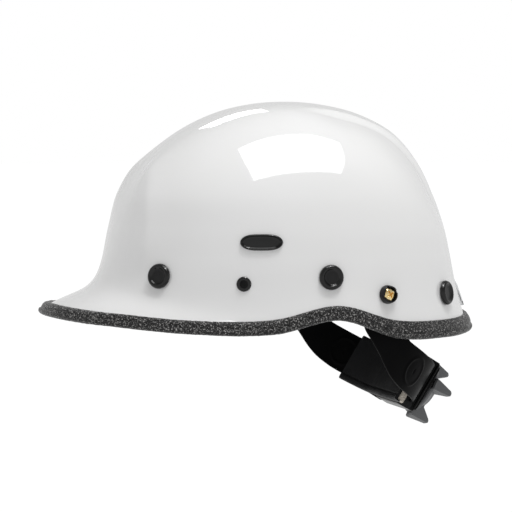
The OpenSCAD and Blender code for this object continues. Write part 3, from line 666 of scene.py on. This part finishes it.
def make_shell():
    a = np.radians(np.arange(COLUMNS) * 360 / COLUMNS)
    outer_v = np.concatenate([np.linspace(0.06, BASE_V, 110), BASE_V + np.linspace(0, 1, 41)[1:]])
    inner_v = np.concatenate([BASE_V + np.linspace(1, 0, 17), np.linspace(BASE_V, 0.1, 44)[1:]])
    outer = shell_pt(a[None, :], outer_v[:, None])
    base = plain_shell(a[None, :], inner_v[:, None])
    grid_a, grid_v = arrays(a[None, :], inner_v[:, None])
    inner = base + (recess(base) - SHELL_T) * shell_normal(grid_a, grid_v)
    points = np.concatenate([outer, inner])
    tops = np.array([outer[0].mean(0) + [0, 0, 0.02], inner[-1].mean(0) + [0, 0, 0.02]])
    vertices = np.vstack([points.reshape(-1, 3), tops])
    shell = finished("helmet_shell", vertices, domed(points), "shell", sharp=180)
    shell.data.materials.append(MATERIALS["shell_inside"])
    split = (len(outer_v) - 1) * COLUMNS
    count = (points.shape[0] - 1) * COLUMNS
    inside = np.zeros(len(shell.data.polygons), np.int32)
    inside[split:count] = 1
    inside[count + COLUMNS:] = 1
    shell.data.polygons.foreach_set("material_index", inside)
    cutters = []
    for side in (-1, 1):
        centre, n, _, _ = stance(side * SOCKET[0], SOCKET[1])
        cutters.append(rod(centre, n, SOCKET_BORE_R, 9))
    bored(shell, cutters)
    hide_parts("shell")
    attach(shell, "helmet")


TRIM_SECTION = [
    (7.6, 0.0), (7.8, 1.0), (7.3, 2.0), (5.9, 2.6), (4.1, 2.75), (2.3, 2.4), (0.9, 1.5), (0.1, 0.95),
    (-0.6, 1.1), (-1.7, 0.95), (-2.6, -0.1), (-2.8, -1.6), (-2.2, -3.2), (-0.9, -4.25), (0.2, -4.4),
    (1.1, -4.3), (2.4, -4.75), (4.0, -4.9), (5.8, -4.8), (7.2, -4.4), (7.7, -3.6), (7.6, -2.5)]


def make_trim():
    a = around(0.5)
    section = spline(TRIM_SECTION, 0.55)
    inward, depth = section[:, 0], section[:, 1]
    aa = np.repeat(a[:, None], len(section), 1)
    v = BASE_V + 1 - np.maximum(inward, 0)[None, :] / (3 * rim_value(RIM_PULL, aa))
    n = shell_normal(aa, np.minimum(v, BASE_V + 1))
    base = plain_shell(aa, v) - np.minimum(inward, 0)[None, :, None] * rim_dir(aa)
    rings = base + depth[None, :, None] * n
    grain = 0.12 * ripple(rings, 3.1) + 0.10 * ripple(rings, 1.6) + 0.12 * ripple(rings, 38)
    rings += grain[..., None] * n * np.sign(depth + SHELL_T / 2)[None, :, None]
    trim = tube("edge_trim_vinyl", rings, "trim", closed=True, sharp=60)
    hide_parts("edge_trim")
    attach(trim, "helmet")


make_shell()
make_trim()


# ---- badge

BADGE_PLACE = (63, BASE_V - 0.6)
BLUNT_ENDS, BLUNT_SIDES = 0.62, 1.05


def make_badge(side):
    """A long plain oval with blunt ends, a raised rim and a flat face."""
    turn = around(3)
    layers = [(30.2, 11.6, 0.0), (30.2, 11.6, 0.8), (29.9, 11.3, 1.5), (29.3, 10.7, 2.0), (28.5, 9.9, 2.2),
              (27.7, 9.2, 2.0), (27.1, 8.6, 1.3), (26.6, 8.1, 0.8), (24.4, 6.2, 0.75), (16.0, 3.6, 0.8),
              (6.0, 1.2, 0.8)]
    c, s = np.cos(turn), np.sin(turn)
    across, up = np.sign(c) * np.abs(c) ** BLUNT_ENDS, np.sign(s) * np.abs(s) ** BLUNT_SIDES
    rings = np.array([on_shell(side * BADGE_PLACE[0], BADGE_PLACE[1], length / 2 * across, width / 2 * up,
                               height) for length, width, height in layers])
    base, face = end_faces(rings)
    faces = lattice(rings)[0] + [face, base[::-1]]
    badge = finished("badge_plate_" + hand(side), rings.reshape(-1, 3), faces, "black_gloss", sharp=70)
    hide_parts("badge_" + hand(side))
    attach(badge, "helmet")


for side in (1, -1):
    make_badge(side)


# ---- plugs and screws

PLUG_PLACES = [(30.5, BASE_V + 0.17), (87.5, BASE_V + 0.27), (140, BASE_V + 0.475)]
PLUG_PROFILE = np.array([
    (0.3, 2.35), (2.2, 2.3), (4.0, 2.2), (4.9, 2.3), (5.5, 2.75), (6.0, 3.35), (6.6, 3.78), (7.2, 3.85),
    (7.8, 3.6), (8.4, 3.0), (8.85, 2.1), (9.0, 1.2), (8.8, 0.6), (8.2, 0.42), (3.25, 0.42), (3.2, 0.1),
    (3.2, -12.6), (2.8, -13.0), (0.3, -13.0)])
DISH_ROWS = 3


def turned_parts(name, places, radius, height, turn, material):
    """Parts spun round the shell's normal at places on both sides, one ring for each radius and height."""
    vertices, faces = [], []
    for side in (-1, 1):
        for angle, level in places:
            centre, n, right, up = stance(side * angle, level)
            rings = (centre + height[..., None] * n
                     + radius[:, None, None] * (np.cos(turn)[:, None] * right + np.sin(turn)[:, None] * up))
            first = len(vertices)
            faces += lattice(rings, first=first)[0] + end_faces(rings, first)
            vertices.extend(rings.reshape(-1, 3))
    return finished(name, vertices, faces, material, sharp=50)


def make_plugs():
    """Six turned plugs: a satin dish inside a rolled glossy rim, on a plain shank."""
    turn = around(6)
    plugs = turned_parts("harness_plug_caps", PLUG_PLACES, PLUG_PROFILE[:, 0], PLUG_PROFILE[:, 1:], turn,
                         "black_satin")
    plugs.data.materials.append(MATERIALS["black_gloss"])
    m = len(turn)
    gloss = [i // m >= DISH_ROWS for i in range((len(PLUG_PROFILE) - 1) * m)] + [False, True]
    plugs.data.polygons.foreach_set("material_index", np.array(gloss * 2 * len(PLUG_PLACES), np.int32))
    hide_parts("harness_plugs")
    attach(plugs, "helmet")


make_plugs()

SCREW_PLACE = (109.5, BASE_V + 0.475)
HEAD_TOP, HEAD_DOME = 4.5, 0.055
SLOT_DEPTH, SLOT_HALF, SLOT_END, SLOT_TURN = 1.5, (0.38, 0.62), (2.2, 2.7), 0.44


def make_screws():
    """The two brass screws: a domed head with a cross recess, and its shank."""
    dome = [(r, HEAD_TOP - HEAD_DOME * r * r) for r in np.arange(0.3, 4.01, 0.22)]
    shank = [(4.3, 3.3), (4.55, 2.9), (4.7, 2.4), (4.7, 1.55), (2.05, 1.5), (2.0, 1.2), (2.0, -7.6),
             (1.7, -8.0), (0.05, -8.0)]
    profile = np.array([(0.04, HEAD_TOP)] + dome + shank)
    turn = around(3.75)
    x = np.abs(profile[:, :1] * np.cos(turn - SLOT_TURN))
    y = np.abs(profile[:, :1] * np.sin(turn - SLOT_TURN))
    slots = [(1 - step_up(across, *SLOT_HALF)) * (1 - step_up(along_slot, *SLOT_END))
             for across, along_slot in ((x, y), (y, x))]
    height = profile[:, 1:] - SLOT_DEPTH * np.maximum(*slots) * (profile[:, 1:] > 3)
    screws = turned_parts("brass_cross_screws", [SCREW_PLACE], profile[:, 0], height, turn, "brass")
    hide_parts("brass_screws")
    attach(screws, "helmet")


make_screws()


# ---- inside the bowl

def make_liner():
    a = around(2)
    gap, thick, channel_depth, channel_half = 0.6, 13, 3.2, 4.5
    levels = np.linspace(0.2, BASE_V - 0.25, 60)
    grid_a, grid_v = np.meshgrid(a, levels)
    base = plain_shell(grid_a, grid_v)
    n = shell_normal(grid_a, grid_v)
    outer = base + (recess(base) - SHELL_T - gap) * n
    channel = np.zeros(grid_a.shape)
    run = step_up(grid_v, 1.6, 2.6) * (1 - step_up(grid_v, 5.7, 6.1))
    for middle in around(45):
        reach = np.linalg.norm(base[..., :2] - [0, 5], axis=-1) * np.abs(np.sin(grid_a - middle))
        facing = np.cos(grid_a - middle) > 0
        channel = np.maximum(channel, np.exp(-(reach / channel_half) ** 4) * facing * run)
    depth = SHELL_T + gap + thick - channel_depth * channel
    inner = base - depth[..., None] * n + 0.12 * ripple(base, 6)[..., None] * n
    down = unit(plain_shell(a, BASE_V - 0.2) - plain_shell(a, BASE_V - 0.4))
    edge = []
    for share in np.linspace(0, 1, 9)[1:-1]:
        mixed = outer[-1] * (1 - share) + inner[-1] * share
        edge.append(mixed + down * 1.6 * math.sin(math.pi * share) ** 0.6)
    points = np.concatenate([outer, np.array(edge), inner[::-1]])
    vertices = np.vstack([points.reshape(-1, 3), outer[0].mean(0), inner[0].mean(0)])
    liner = finished("impact_foam", vertices, domed(points), "foam", sharp=50)
    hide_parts("impact_liner")
    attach(liner, "helmet")


make_liner()


STITCH_PITCH, STITCH_LENGTH, STITCH_R = 3.4, 2.4, 0.3
STITCH_AT = np.array([0, 0.12, 0.5, 0.88, 1])
STITCH_RISE = np.array([-0.9, 0.1, 0.45, 0.1, -0.9])[:, None]
STITCH_SWELL = np.array([0.55, 0.95, 1, 0.95, 0.55])[:, None, None]


def stitches(name, lines):
    """Rows of sewn stitches: each line is its points and the face's normal, and each stitch a low bead."""
    vertices, faces = [], []
    turn = around(60)[:, None]
    for points, normal in lines:
        points = np.asarray(points, float)
        far = running(points)
        normals = np.broadcast_to(np.asarray(normal, float), points.shape)
        for start in np.arange(0.4, far[-1] - STITCH_LENGTH, STITCH_PITCH):
            at = start + STITCH_LENGTH * STITCH_AT
            spot = sampled(at, far, points)
            up = unit(sampled(at, far, normals))
            side = unit(np.cross(unit(spot[-1] - spot[0]), up))
            spot = spot + up * (STITCH_R * STITCH_RISE)
            round_bead = np.cos(turn) * side[:, None] + 0.8 * np.sin(turn) * up[:, None]
            rings = spot[:, None] + STITCH_R * STITCH_SWELL * round_bead
            first = len(vertices)
            faces += lattice(rings, first=first)[0] + end_faces(rings, first)
            vertices.extend(rings.reshape(-1, 3))
    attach(finished(name, vertices, faces, "thread", sharp=180), "helmet")


WEB_W, WEB_T = 20, 1.5


def strap(name, path, across, width, wobble):
    """Flat webbing along a path, its width along a fixed direction."""
    normal = unit(np.cross(unit(np.gradient(path, axis=0)), across))
    section = rounded_section(width, WEB_T, 21)
    rings = path[:, None, :] + section[:, :1] * across + section[:, 1:] * normal[:, None, :]
    rings += wobble * ripple(rings, 17)[..., None] * normal[:, None, :]
    return tube(name, rings, "webbing", sharp=60)


# ---- crown webbing: three straps, then the round patch that joins them

CROSS_Y, STRAP_TURN, CROSS_STRAP_Y = -9.334, math.radians(-55.66), 4.68
ARCH_Z = 48
SEWN_OFF, SEWN_HALF = 0.06, 8


def half_arch(end, top):
    u = np.radians(np.arange(0, 90.1, 7.5))
    run, anchor, reach = end
    arch = np.column_stack([reach * np.cos(u), ARCH_Z + (top - ARCH_Z) * np.sin(u)])
    return np.vstack([[run, anchor - 7], [run, anchor], [run, anchor + 6.5], arch])


def crown_strap(which, front, back, top, middle_y, turn):
    a, b = half_arch(front, top), half_arch(back, top)
    flat = spline(np.vstack([a, (b * [-1, 1])[::-1][1:]]), 1.2)
    ahead = np.array([math.cos(turn), math.sin(turn), 0])
    across = np.array([-math.sin(turn), math.cos(turn), 0])
    path = np.array([0, middle_y, 0]) + flat[:, :1] * ahead + flat[:, 1:] * [0, 0, 1]
    piece = strap("crown_web_" + which, path, across, WEB_W, 0.10)
    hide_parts("crown_strap_" + which)
    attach(piece, "helmet")
    sewn = []
    for end in (path[0], path[-1]):
        inward = unit(-(end - [0, middle_y, 0]) * [1, 1, 0])
        base = (end + inward * (WEB_T / 2 + SEWN_OFF)) * [1, 1, 0]
        for rise in (0.8, 3.2):
            row = base + [0, 0, end[2] + rise]
            sewn.append((np.linspace(row - across * SEWN_HALF, row + across * SEWN_HALF, 12), inward))
    stitches("crown_web_" + which + "_stitches", sewn)


FRONT_END, BACK_END, CROSS_END = (114.28, 32.0, 99.78), (128.0, 16.96, 111.0), (102.57, 32.2, 90.57)
crown_strap("left", FRONT_END, BACK_END, 129, CROSS_Y, STRAP_TURN)
crown_strap("right", FRONT_END, BACK_END, 125.8, CROSS_Y, math.pi - STRAP_TURN)
crown_strap("cross", CROSS_END, CROSS_END, 122.6, CROSS_STRAP_Y, 0)


def make_patch():
    """A padded leather disc with a rolled edge and a sewn ring."""
    turn = around(3)
    low, sewn_r, sewn_top = 129.95, 21.2, 1.42
    profile = [(2, 0.05), (20, 0.02), (23.2, 0.1), (24, 0.7), (23.8, 1.35), (23, 1.75), (21.9, 1.7),
               (sewn_r, 1.35), (20.5, 1.6), (17, 1.95), (10, 2.1), (2, 2.15)]

    def ring(radius, z, angles):
        return np.column_stack([radius * np.cos(angles), CROSS_Y + radius * np.sin(angles),
                                np.full(len(angles), low + z)])

    rings = np.array([ring(radius, z, turn) for radius, z in profile])
    rings[..., 2] += 0.05 * ripple(rings, 6)
    patch = tube("crown_patch_leather", rings, "patch", sharp=60)
    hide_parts("crown_patch")
    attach(patch, "helmet")
    full = np.append(turn, 0)
    stitches("crown_patch_stitches", [(ring(sewn_r, -0.02, full), (0, 0, -1)),
                                      (ring(sewn_r, sewn_top, full), (0, 0, 1))])


make_patch()


# ---- headband and brow pad

BAND_LOW, BAND_T = 12, 1.6
BAND_SIDE, TAB_Y, TAB_Z = 97.5, 46.5, 19.5
PIVOT_BORE_R = 5.1


def band_pt(inset, u):
    c, s = np.maximum(np.cos(u), 0), np.maximum(np.sin(u), 0)
    return np.stack([(95 - inset) * c ** (2 / 2.3), 10 - (114 - inset) * s ** (2 / 2.3)], -1)


def flat_normal(path):
    d = unit(np.gradient(path, axis=0))
    return np.stack([d[:, 1], -d[:, 0]], -1)


def make_headband():
    u = np.radians(np.arange(0, 90.1, 3))
    left = np.vstack([[BAND_SIDE, 54.5], [BAND_SIDE, 46], [BAND_SIDE, 37.5], band_pt(0, u)])
    path = spline(np.vstack([left, (left[:-1] * [-1, 1])[::-1]]), 1.5)
    out = -flat_normal(path)
    z = np.array([0, 0.35, 0.9, 4, 4.6, 5.4, 6, 13, 20, 20.6, 21.4, 22, 25.1, 25.65, 26])
    rib = np.array([0, 0.3, 0.5, 0.5, 0.8, 0.8, 0.5, 0.5, 0.5, 0.8, 0.8, 0.5, 0.5, 0.3, 0])
    ring_z = np.concatenate([z, z[::-1][1:-1]])
    ring_n = np.concatenate([rib, -np.minimum(rib, 0.5)[::-1][1:-1]]) * BAND_T
    flat = off_path(path, out, ring_n[None])
    heights = np.broadcast_to(BAND_LOW + ring_z[None, :, None], flat.shape[:2] + (1,))
    band = tube("headband_strip", np.concatenate([flat, heights], -1), "band", sharp=35)
    bored(band, [rod(np.array([side * BAND_SIDE, TAB_Y, TAB_Z]), (1, 0, 0), PIVOT_BORE_R, 4)
                 for side in (-1, 1)])
    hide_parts("headband")
    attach(band, "helmet")


make_headband()


BROW_LOW, BROW_HIGH, BROW_SEAMS = 10, 40, (13.4, 36.6)
BROW_INNER, BROW_OUTER, SEAM_PULL, SEAM_WIDTH = -2.3, 2.1, 0.42, 1.1


def brow_rings(path, out):
    """Rings of a sewn pad: it swells to its faces and pulls in at edges, seams and ends."""
    share = 0.5 - 0.5 * np.cos(math.pi * np.linspace(0, 1, 26))
    h = BROW_LOW + (BROW_HIGH - BROW_LOW) * share
    puff = (1 - np.abs(2 * share - 1) ** 5) ** 0.5
    far = running(path)
    taper = np.clip(np.minimum(far, far[-1] - far) / 3.5, 0.12, 1) ** 0.5
    middle, half = (BROW_INNER + BROW_OUTER) / 2, (BROW_OUTER - BROW_INNER) / 2
    dent = sum(np.exp(-((h - place) / SEAM_WIDTH) ** 2) for place in BROW_SEAMS)
    front = -(half * puff * (1 - SEAM_PULL * dent) + 0.02)
    rear = (half * puff[::-1] + 0.02)[1:-1]
    flat = off_path(path, out, middle + np.concatenate([front, rear])[None, :] * taper[:, None])
    heights = np.broadcast_to(np.concatenate([h, h[::-1][1:-1]])[None, :, None], flat.shape[:2] + (1,))
    return np.concatenate([flat, heights], -1)


def make_brow():
    u = np.radians(np.arange(-60, 60.1, 2.5))
    p = band_pt(3.3, math.pi / 2 - np.abs(u))
    path = spline(np.column_stack([np.sign(u) * p[:, 0], p[:, 1]]), 1.0)
    out = flat_normal(path)
    rings = brow_rings(path, out)
    gather = 0.16 * ripple(rings * [1, 1, 0.25], 7) + 0.1 * ripple(rings, 4)
    inside = (rings[..., 2:] > BROW_LOW + 1) * (rings[..., 2:] < BROW_HIGH - 1)
    rings[..., :2] -= gather[..., None] * out[:, None, :] * inside
    pad = tube("brow_pad_leather", rings, "brow", sharp=70)
    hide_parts("brow_pad")
    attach(pad, "helmet")
    face = path[3:-3] - 1.55 * out[3:-3]
    inward = np.column_stack([-out[3:-3], np.zeros(len(face))])
    sewn = [(np.column_stack([face, np.full(len(face), z)]), inward) for z in BROW_SEAMS]
    stitches("brow_pad_stitches", sewn)


make_brow()


# ---- chin strap, buckled across the bowl

CHIN_Y, CHIN_TOP, CHIN_W = 4.68, 106, 19
CHIN_SIDE, CHIN_INNER, CHIN_ARCH_X, CHIN_ARCH_Z, CHIN_SQUARE = 100.77, 91.77, 84, 44, 2.4


def chin_path():
    u = np.radians(np.arange(6, 72.1, 6))
    arch = np.column_stack([CHIN_ARCH_X * np.cos(u) ** (2 / CHIN_SQUARE),
                            CHIN_ARCH_Z + (CHIN_TOP - CHIN_ARCH_Z) * np.sin(u) ** (2 / CHIN_SQUARE)])
    start = [[CHIN_SIDE, 24], [CHIN_SIDE, 31], [CHIN_SIDE, 37.6], [CHIN_INNER, 42.3]]
    return spline(np.vstack([start, arch, [23, CHIN_TOP - 0.2]]), 1.2)


def make_chin(side):
    flat = chin_path()
    path = np.column_stack([side * flat[:, 0], np.full(len(flat), CHIN_Y), flat[:, 1]])
    name = "chin_web_" + hand(side)
    piece = strap(name, path, np.array([0.0, 1, 0]), CHIN_W, 0.05)
    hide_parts("chin_strap_" + hand(side))
    if side > 0:
        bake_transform(piece)
    else:
        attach(piece, "helmet")
    x = side * (CHIN_SIDE - WEB_T / 2 - SEWN_OFF)
    sewn = [(np.linspace((x, CHIN_Y - SEWN_HALF, z), (x, CHIN_Y + SEWN_HALF, z), 12), (-side, 0, 0))
            for z in (34.4, 36.6)]
    stitches(name + "_stitches", sewn)


for side in (1, -1):
    make_chin(side)


# ---- nape band

TILT = math.radians(32)
PIVOT = np.array([0, 46.5, 19.5])
SLOPE = np.array([0, math.cos(TILT), -math.sin(TILT)])
RISE = np.array([0, math.sin(TILT), math.cos(TILT)])
ARM_T, ARM_MID, ARM_LEAD, ARM_FLAT, ARM_REACH, ARM_SQUARE = 2.2, -33, 9, 28, 84, 1.8


def nape(x, e, h):
    """World points from the nape band's frame: across, along the slope to the back, square to it."""
    x, e, h = arrays(x, e, h)
    return PIVOT + x[..., None] * [1, 0, 0] + e[..., None] * SLOPE + h[..., None] * RISE


def plan_curve(side, reach, low, high):
    u = np.radians(np.linspace(low, high, 40))
    c, s = np.maximum(np.cos(u), 0), np.maximum(np.sin(u), 0)
    return np.column_stack([ARM_FLAT + (side - ARM_FLAT) * c ** (2 / ARM_SQUARE),
                            ARM_LEAD + (reach - ARM_LEAD) * s ** (2 / ARM_SQUARE)])


ARM_LOWER = [(-11, -4), (-7.5, -12.5), (-4, -20), (2, -27.6), (13, -33.2), (23, -38), (32, -42.8),
             (41, -46.4), (51, -48.4), (57, -48.9), (63, -49), (75, -49), (90, -49)]
ARM_UPPER = [(-11, -4), (-6, 2), (0, 8), (11.5, 5.5), (21, -2), (34.5, -13.8), (37.6, -16.4), (42, -17),
             (60, -17), (90, -17)]
ARM_SIDE, ARM_EDGE, PIVOT_PAD_R = 100, 0.75, 12
RING_E, RING_H, RING_R = 56.7, -32.8, 10.8
EMBOSS = 0.6


def make_arm(side):
    """One flexible arm: a round pad on its pivot, a neck that sweeps down and a ringed wide end."""
    bend = plan_curve(ARM_SIDE, ARM_REACH, 0, 90)
    path = spline(np.vstack([[ARM_SIDE, -11.85], [ARM_SIDE, -5], bend, [26, ARM_REACH]]), 0.75)
    out = flat_normal(path)
    e = path[:, 1]
    lower, upper = spline(ARM_LOWER, 0.8), spline(ARM_UPPER, 0.8)
    round_half = np.sqrt(np.maximum(PIVOT_PAD_R ** 2 - e ** 2, 0))
    low = np.minimum(np.interp(e, lower[:, 0], lower[:, 1]), np.where(e < PIVOT_PAD_R, -round_half, 0))
    high = np.maximum(np.interp(e, upper[:, 0], upper[:, 1]), np.where(e < PIVOT_PAD_R, round_half, -99))
    low = np.where(e < -11, -round_half, low)
    high = np.where(e < -11, round_half, high)
    t = np.linspace(0, 1, 50)
    h = (low + ARM_EDGE)[:, None] + (high - low - 2 * ARM_EDGE)[:, None] * t[None, :]
    far = running(path)
    ring_at = far[np.argmin(np.abs(e - RING_E) + (path[:, 0] < 40) * 99)]
    away = np.hypot(far[:, None] - ring_at, h - RING_H)
    emboss = EMBOSS * np.exp(-((away - RING_R) / 1.1) ** 2)
    slot = np.hypot(far[:, None] - ring_at, (h - RING_H) / 2.4)
    emboss -= 0.55 * (1 - step_up(slot, 0.7, 1.1))
    rim = np.minimum(h - low[:, None], high[:, None] - h)
    emboss += 0.14 * (1 - step_up(rim, 1.4, 1.9))
    emboss = emboss * (1 - step_up(e, 69, 74))[:, None]
    half = ARM_T / 2
    turn = np.radians([60, 30, 0, -30, -60])
    top_h = high[:, None] - ARM_EDGE + ARM_EDGE * np.cos(turn)[None, :]
    low_h = low[:, None] + ARM_EDGE - ARM_EDGE * np.cos(turn)[None, :]
    lip = half * np.sin(turn)[None, :] / math.sin(math.radians(75)) + np.zeros((len(e), 1))
    ring_h = np.concatenate([h, top_h, h[:, ::-1], low_h], 1)
    ring_n = np.concatenate([half + emboss, lip, -(half + emboss[:, ::-1]), -lip], 1)
    flat = off_path(path, out, ring_n)
    rings = nape(side * flat[..., 0], flat[..., 1], ring_h)
    arm = tube("nape_arm_strip_" + hand(side), rings, "arm", sharp=45)
    bored(arm, [rod(nape(side * ARM_SIDE, 0, 0), (1, 0, 0), PIVOT_BORE_R, 4)])
    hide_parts("nape_arm_" + hand(side))
    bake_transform(arm)


for side in (1, -1):
    make_arm(side)


PAD_SIDE, PAD_REACH = 94, 79.2
SLEEVE_ENDS, FOAM_ENDS = (69, 52), (70, 56)
SLEEVE_INNER = -5.6


def pad_path(left, right):
    a, b = (plan_curve(PAD_SIDE, PAD_REACH, end, 90) for end in (left, right))
    return spline(np.vstack([a, (b * [-1, 1])[::-1]]), 0.9)


def pad_rings(ends, section):
    """The pad's path and outward normals, and rings of a section (off the path, square to the slope)."""
    path = pad_path(*ends)
    out = flat_normal(path)
    flat = off_path(path, out, section[None, :, 0])
    return path, out, nape(flat[..., 0], flat[..., 1], section[None, :, 1])


def make_nape_pad():
    """The satin sleeve: it lies on the foam's inner face and folds round its two long edges."""
    hem = [(-3.0, -53.3), (-3.1, -53.9), (-3.6, -54.15), (-5.2, -54.3), (-6.7, -54.15), (-7.5, -53.4),
           (-7.8, -52.1), (-7.75, -50.7), (-7.4, -49.7), (-6.95, -49.35), (-6.9, -48.9), (-7.1, -48.0),
           (-7.25, -43), (-7.35, -34.7), (-7.3, -26), (-7.25, -19.4), (-7.2, -17.6), (-6.8, -16.2),
           (-5.8, -15.5), (-3.6, -15.4), (-3.1, -15.7), (-3.1, -16.3), (-5.0, -16.45), (-5.25, -17.2),
           (-5.3, -34.7), (-5.25, -52.4), (-5.0, -53.25)]
    section = spline(hem, 0.55, closed=True)
    ring_n, ring_h = section[:, 0], section[:, 1]
    path, out, rings = pad_rings(SLEEVE_ENDS, section)
    far = running(path)
    puckers = np.sin(far * 1.9 + 2 * ripple(rings[:, 0], 23)) * 0.5 + ripple(rings[:, 0], 5)
    seam = np.exp(-((ring_h + 47.5) / 3.0) ** 2)
    face = (ring_n < SLEEVE_INNER) * (0.03 + 0.07 * seam) * (ring_h > -49.3)
    wave = 0.22 * ripple(rings, 19)
    depth = puckers[:, None] * face[None, :] + wave * (ring_n < SLEEVE_INNER)[None, :]
    normal3 = np.stack([out[:, 0], out[:, 1] * SLOPE[1], out[:, 1] * SLOPE[2]], -1)
    rings = rings + np.maximum(depth, -0.35)[..., None] * normal3[:, None, :]
    sleeve = tube("nape_sleeve_satin", rings, "satin", sharp=75)
    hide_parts("nape_pad")
    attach(sleeve, "ratchet_housing")


def make_nape_foam():
    outline = spline([(-0.4, -51.8), (-0.75, -52.9), (-1.6, -53.2), (-3.8, -53.2), (-4.75, -52.9),
                      (-5.0, -51.8), (-5.0, -34.9), (-5.0, -18.1), (-4.75, -17.0), (-3.8, -16.7),
                      (-1.6, -16.7), (-0.75, -17.0), (-0.4, -18.1), (-0.4, -34.9)], 0.6, closed=True)
    _, _, rings = pad_rings(FOAM_ENDS, outline)
    rings = rings + 0.07 * ripple(rings, 4)[..., None] * RISE
    pad = tube("nape_foam_block", rings, "cream", sharp=50)
    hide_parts("nape_pad_foam")
    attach(pad, "ratchet_housing")


make_nape_pad()
make_nape_foam()


# ---- floor, light and sky

def seen_or_lit(nodes, seen, lit):
    """A brightness: seen for the camera's own rays, lit for the light on the object."""
    return nodes.span(nodes.new("ShaderNodeLightPath", {}).outputs["Is Camera Ray"], 0, 1, lit, seen)


FLOOR_Z, FLOOR_HALF = -0.32, 30.0
FLOOR_GLOW, SKY_LOW, SKY_HIGH = 0.69, 0.75, 0.46
paper = Nodes("floor_paper")
paper.shader.inputs["Emission Color"].default_value = (1, 1, 1, 1)
paper.join(seen_or_lit(paper, 1.0, FLOOR_GLOW), paper.shader.inputs["Emission Strength"])
paper.finish(color=(0.06, 0.06, 0.06), rough=0.9, specular=0.0)
floor_mesh = bpy.data.meshes.new("floor")
corners = [(x * FLOOR_HALF, y * FLOOR_HALF, FLOOR_Z) for x, y in ((-1, -1), (1, -1), (1, 1), (-1, 1))]
floor_mesh.from_pydata(corners, [], [(0, 1, 2, 3)])
floor_mesh.materials.append(paper.block)
floor = add("floor", floor_mesh)


def softbox(name, place, target, width, height, radiance):
    """A rectangle light of the given brightness, turned to a point."""
    light = bpy.data.lights.new(name, "AREA")
    light.shape = "RECTANGLE"
    light.size, light.size_y = width, height
    light.energy = radiance * width * height * math.pi
    obj = add(name, light)
    obj.location = place
    turned_to(obj, Vector(target) - Vector(place))


softbox("overhead_box", (0.49, 0.16, 1.30), (0.49, 0.1601, 0.0), 0.96, 0.98, 3.5)
softbox("flash_core", (0.50, 0.16, 1.27), (0, 0, 0.08), 0.15, 0.15, 55.0)
softbox("far_strip", (-1.59, 0.09, 1.29), (0.03, -0.05, 0.14), 0.5, 0.32, 6.0)

sky = Nodes("studio", bpy.data.worlds, "Background")
bpy.context.scene.world = sky.block
direction = sky.new("ShaderNodeTexCoord", {}).outputs["Generated"]
upward = sky.new("ShaderNodeSeparateXYZ", {0: direction}).outputs["Z"]
glow = seen_or_lit(sky, 1.0, sky.span(upward, 0.05, 0.5, SKY_LOW, SKY_HIGH))
sky.join((1, 1, 1, 1), sky.shader.inputs["Color"])
sky.join(glow, sky.shader.inputs["Strength"])


# ---- CAD nodes that are carried

CARRIED = {
    "black_satin": ("harness_keys", "screw_collars"),
    "steel": ("plug_retainers", "pivot_clips", "ratchet_screws", "detent_spring", "knob_screw",
              "goggle_clip_rivets"),
    "black_gloss": ("visor_sockets",),
    "nylon": ("pivot_bushes", "pinion", "rack_left", "rack_right", "ratchet_back", "buckle_female",
              "buckle_male", "chin_slider", "headband_tabs"),
    "clear": ("goggle_clip",),
    "housing": ("ratchet_cover",),
    "knob": ("knob",),
}
BEVELS = {"knob": 0.5, "ratchet_cover": 0.45, "ratchet_back": 0.35, "buckle_female": 0.6,
          "buckle_male": 0.5, "chin_slider": 0.5, "harness_keys": 0.5, "screw_collars": 0.2,
          "goggle_clip": 0.3, "headband_tabs": 0.4}
WELD_DISTANCE, BEVEL_ANGLE = 0.000005, math.radians(28)
for key, names in CARRIED.items():
    for node_name in names:
        node = NODES[node_name]
        node.data.materials.clear()
        node.data.materials.append(MATERIALS[key])
        if node_name in BEVELS:
            weld = node.modifiers.new("weld", "WELD")
            weld.merge_threshold = WELD_DISTANCE
            bevel = node.modifiers.new("bevel", "BEVEL")
            bevel.width = BEVELS[node_name] * MM
            bevel.segments = 3
            bevel.limit_method = "ANGLE"
            bevel.angle_limit = BEVEL_ANGLE
            bevel.harden_normals = True
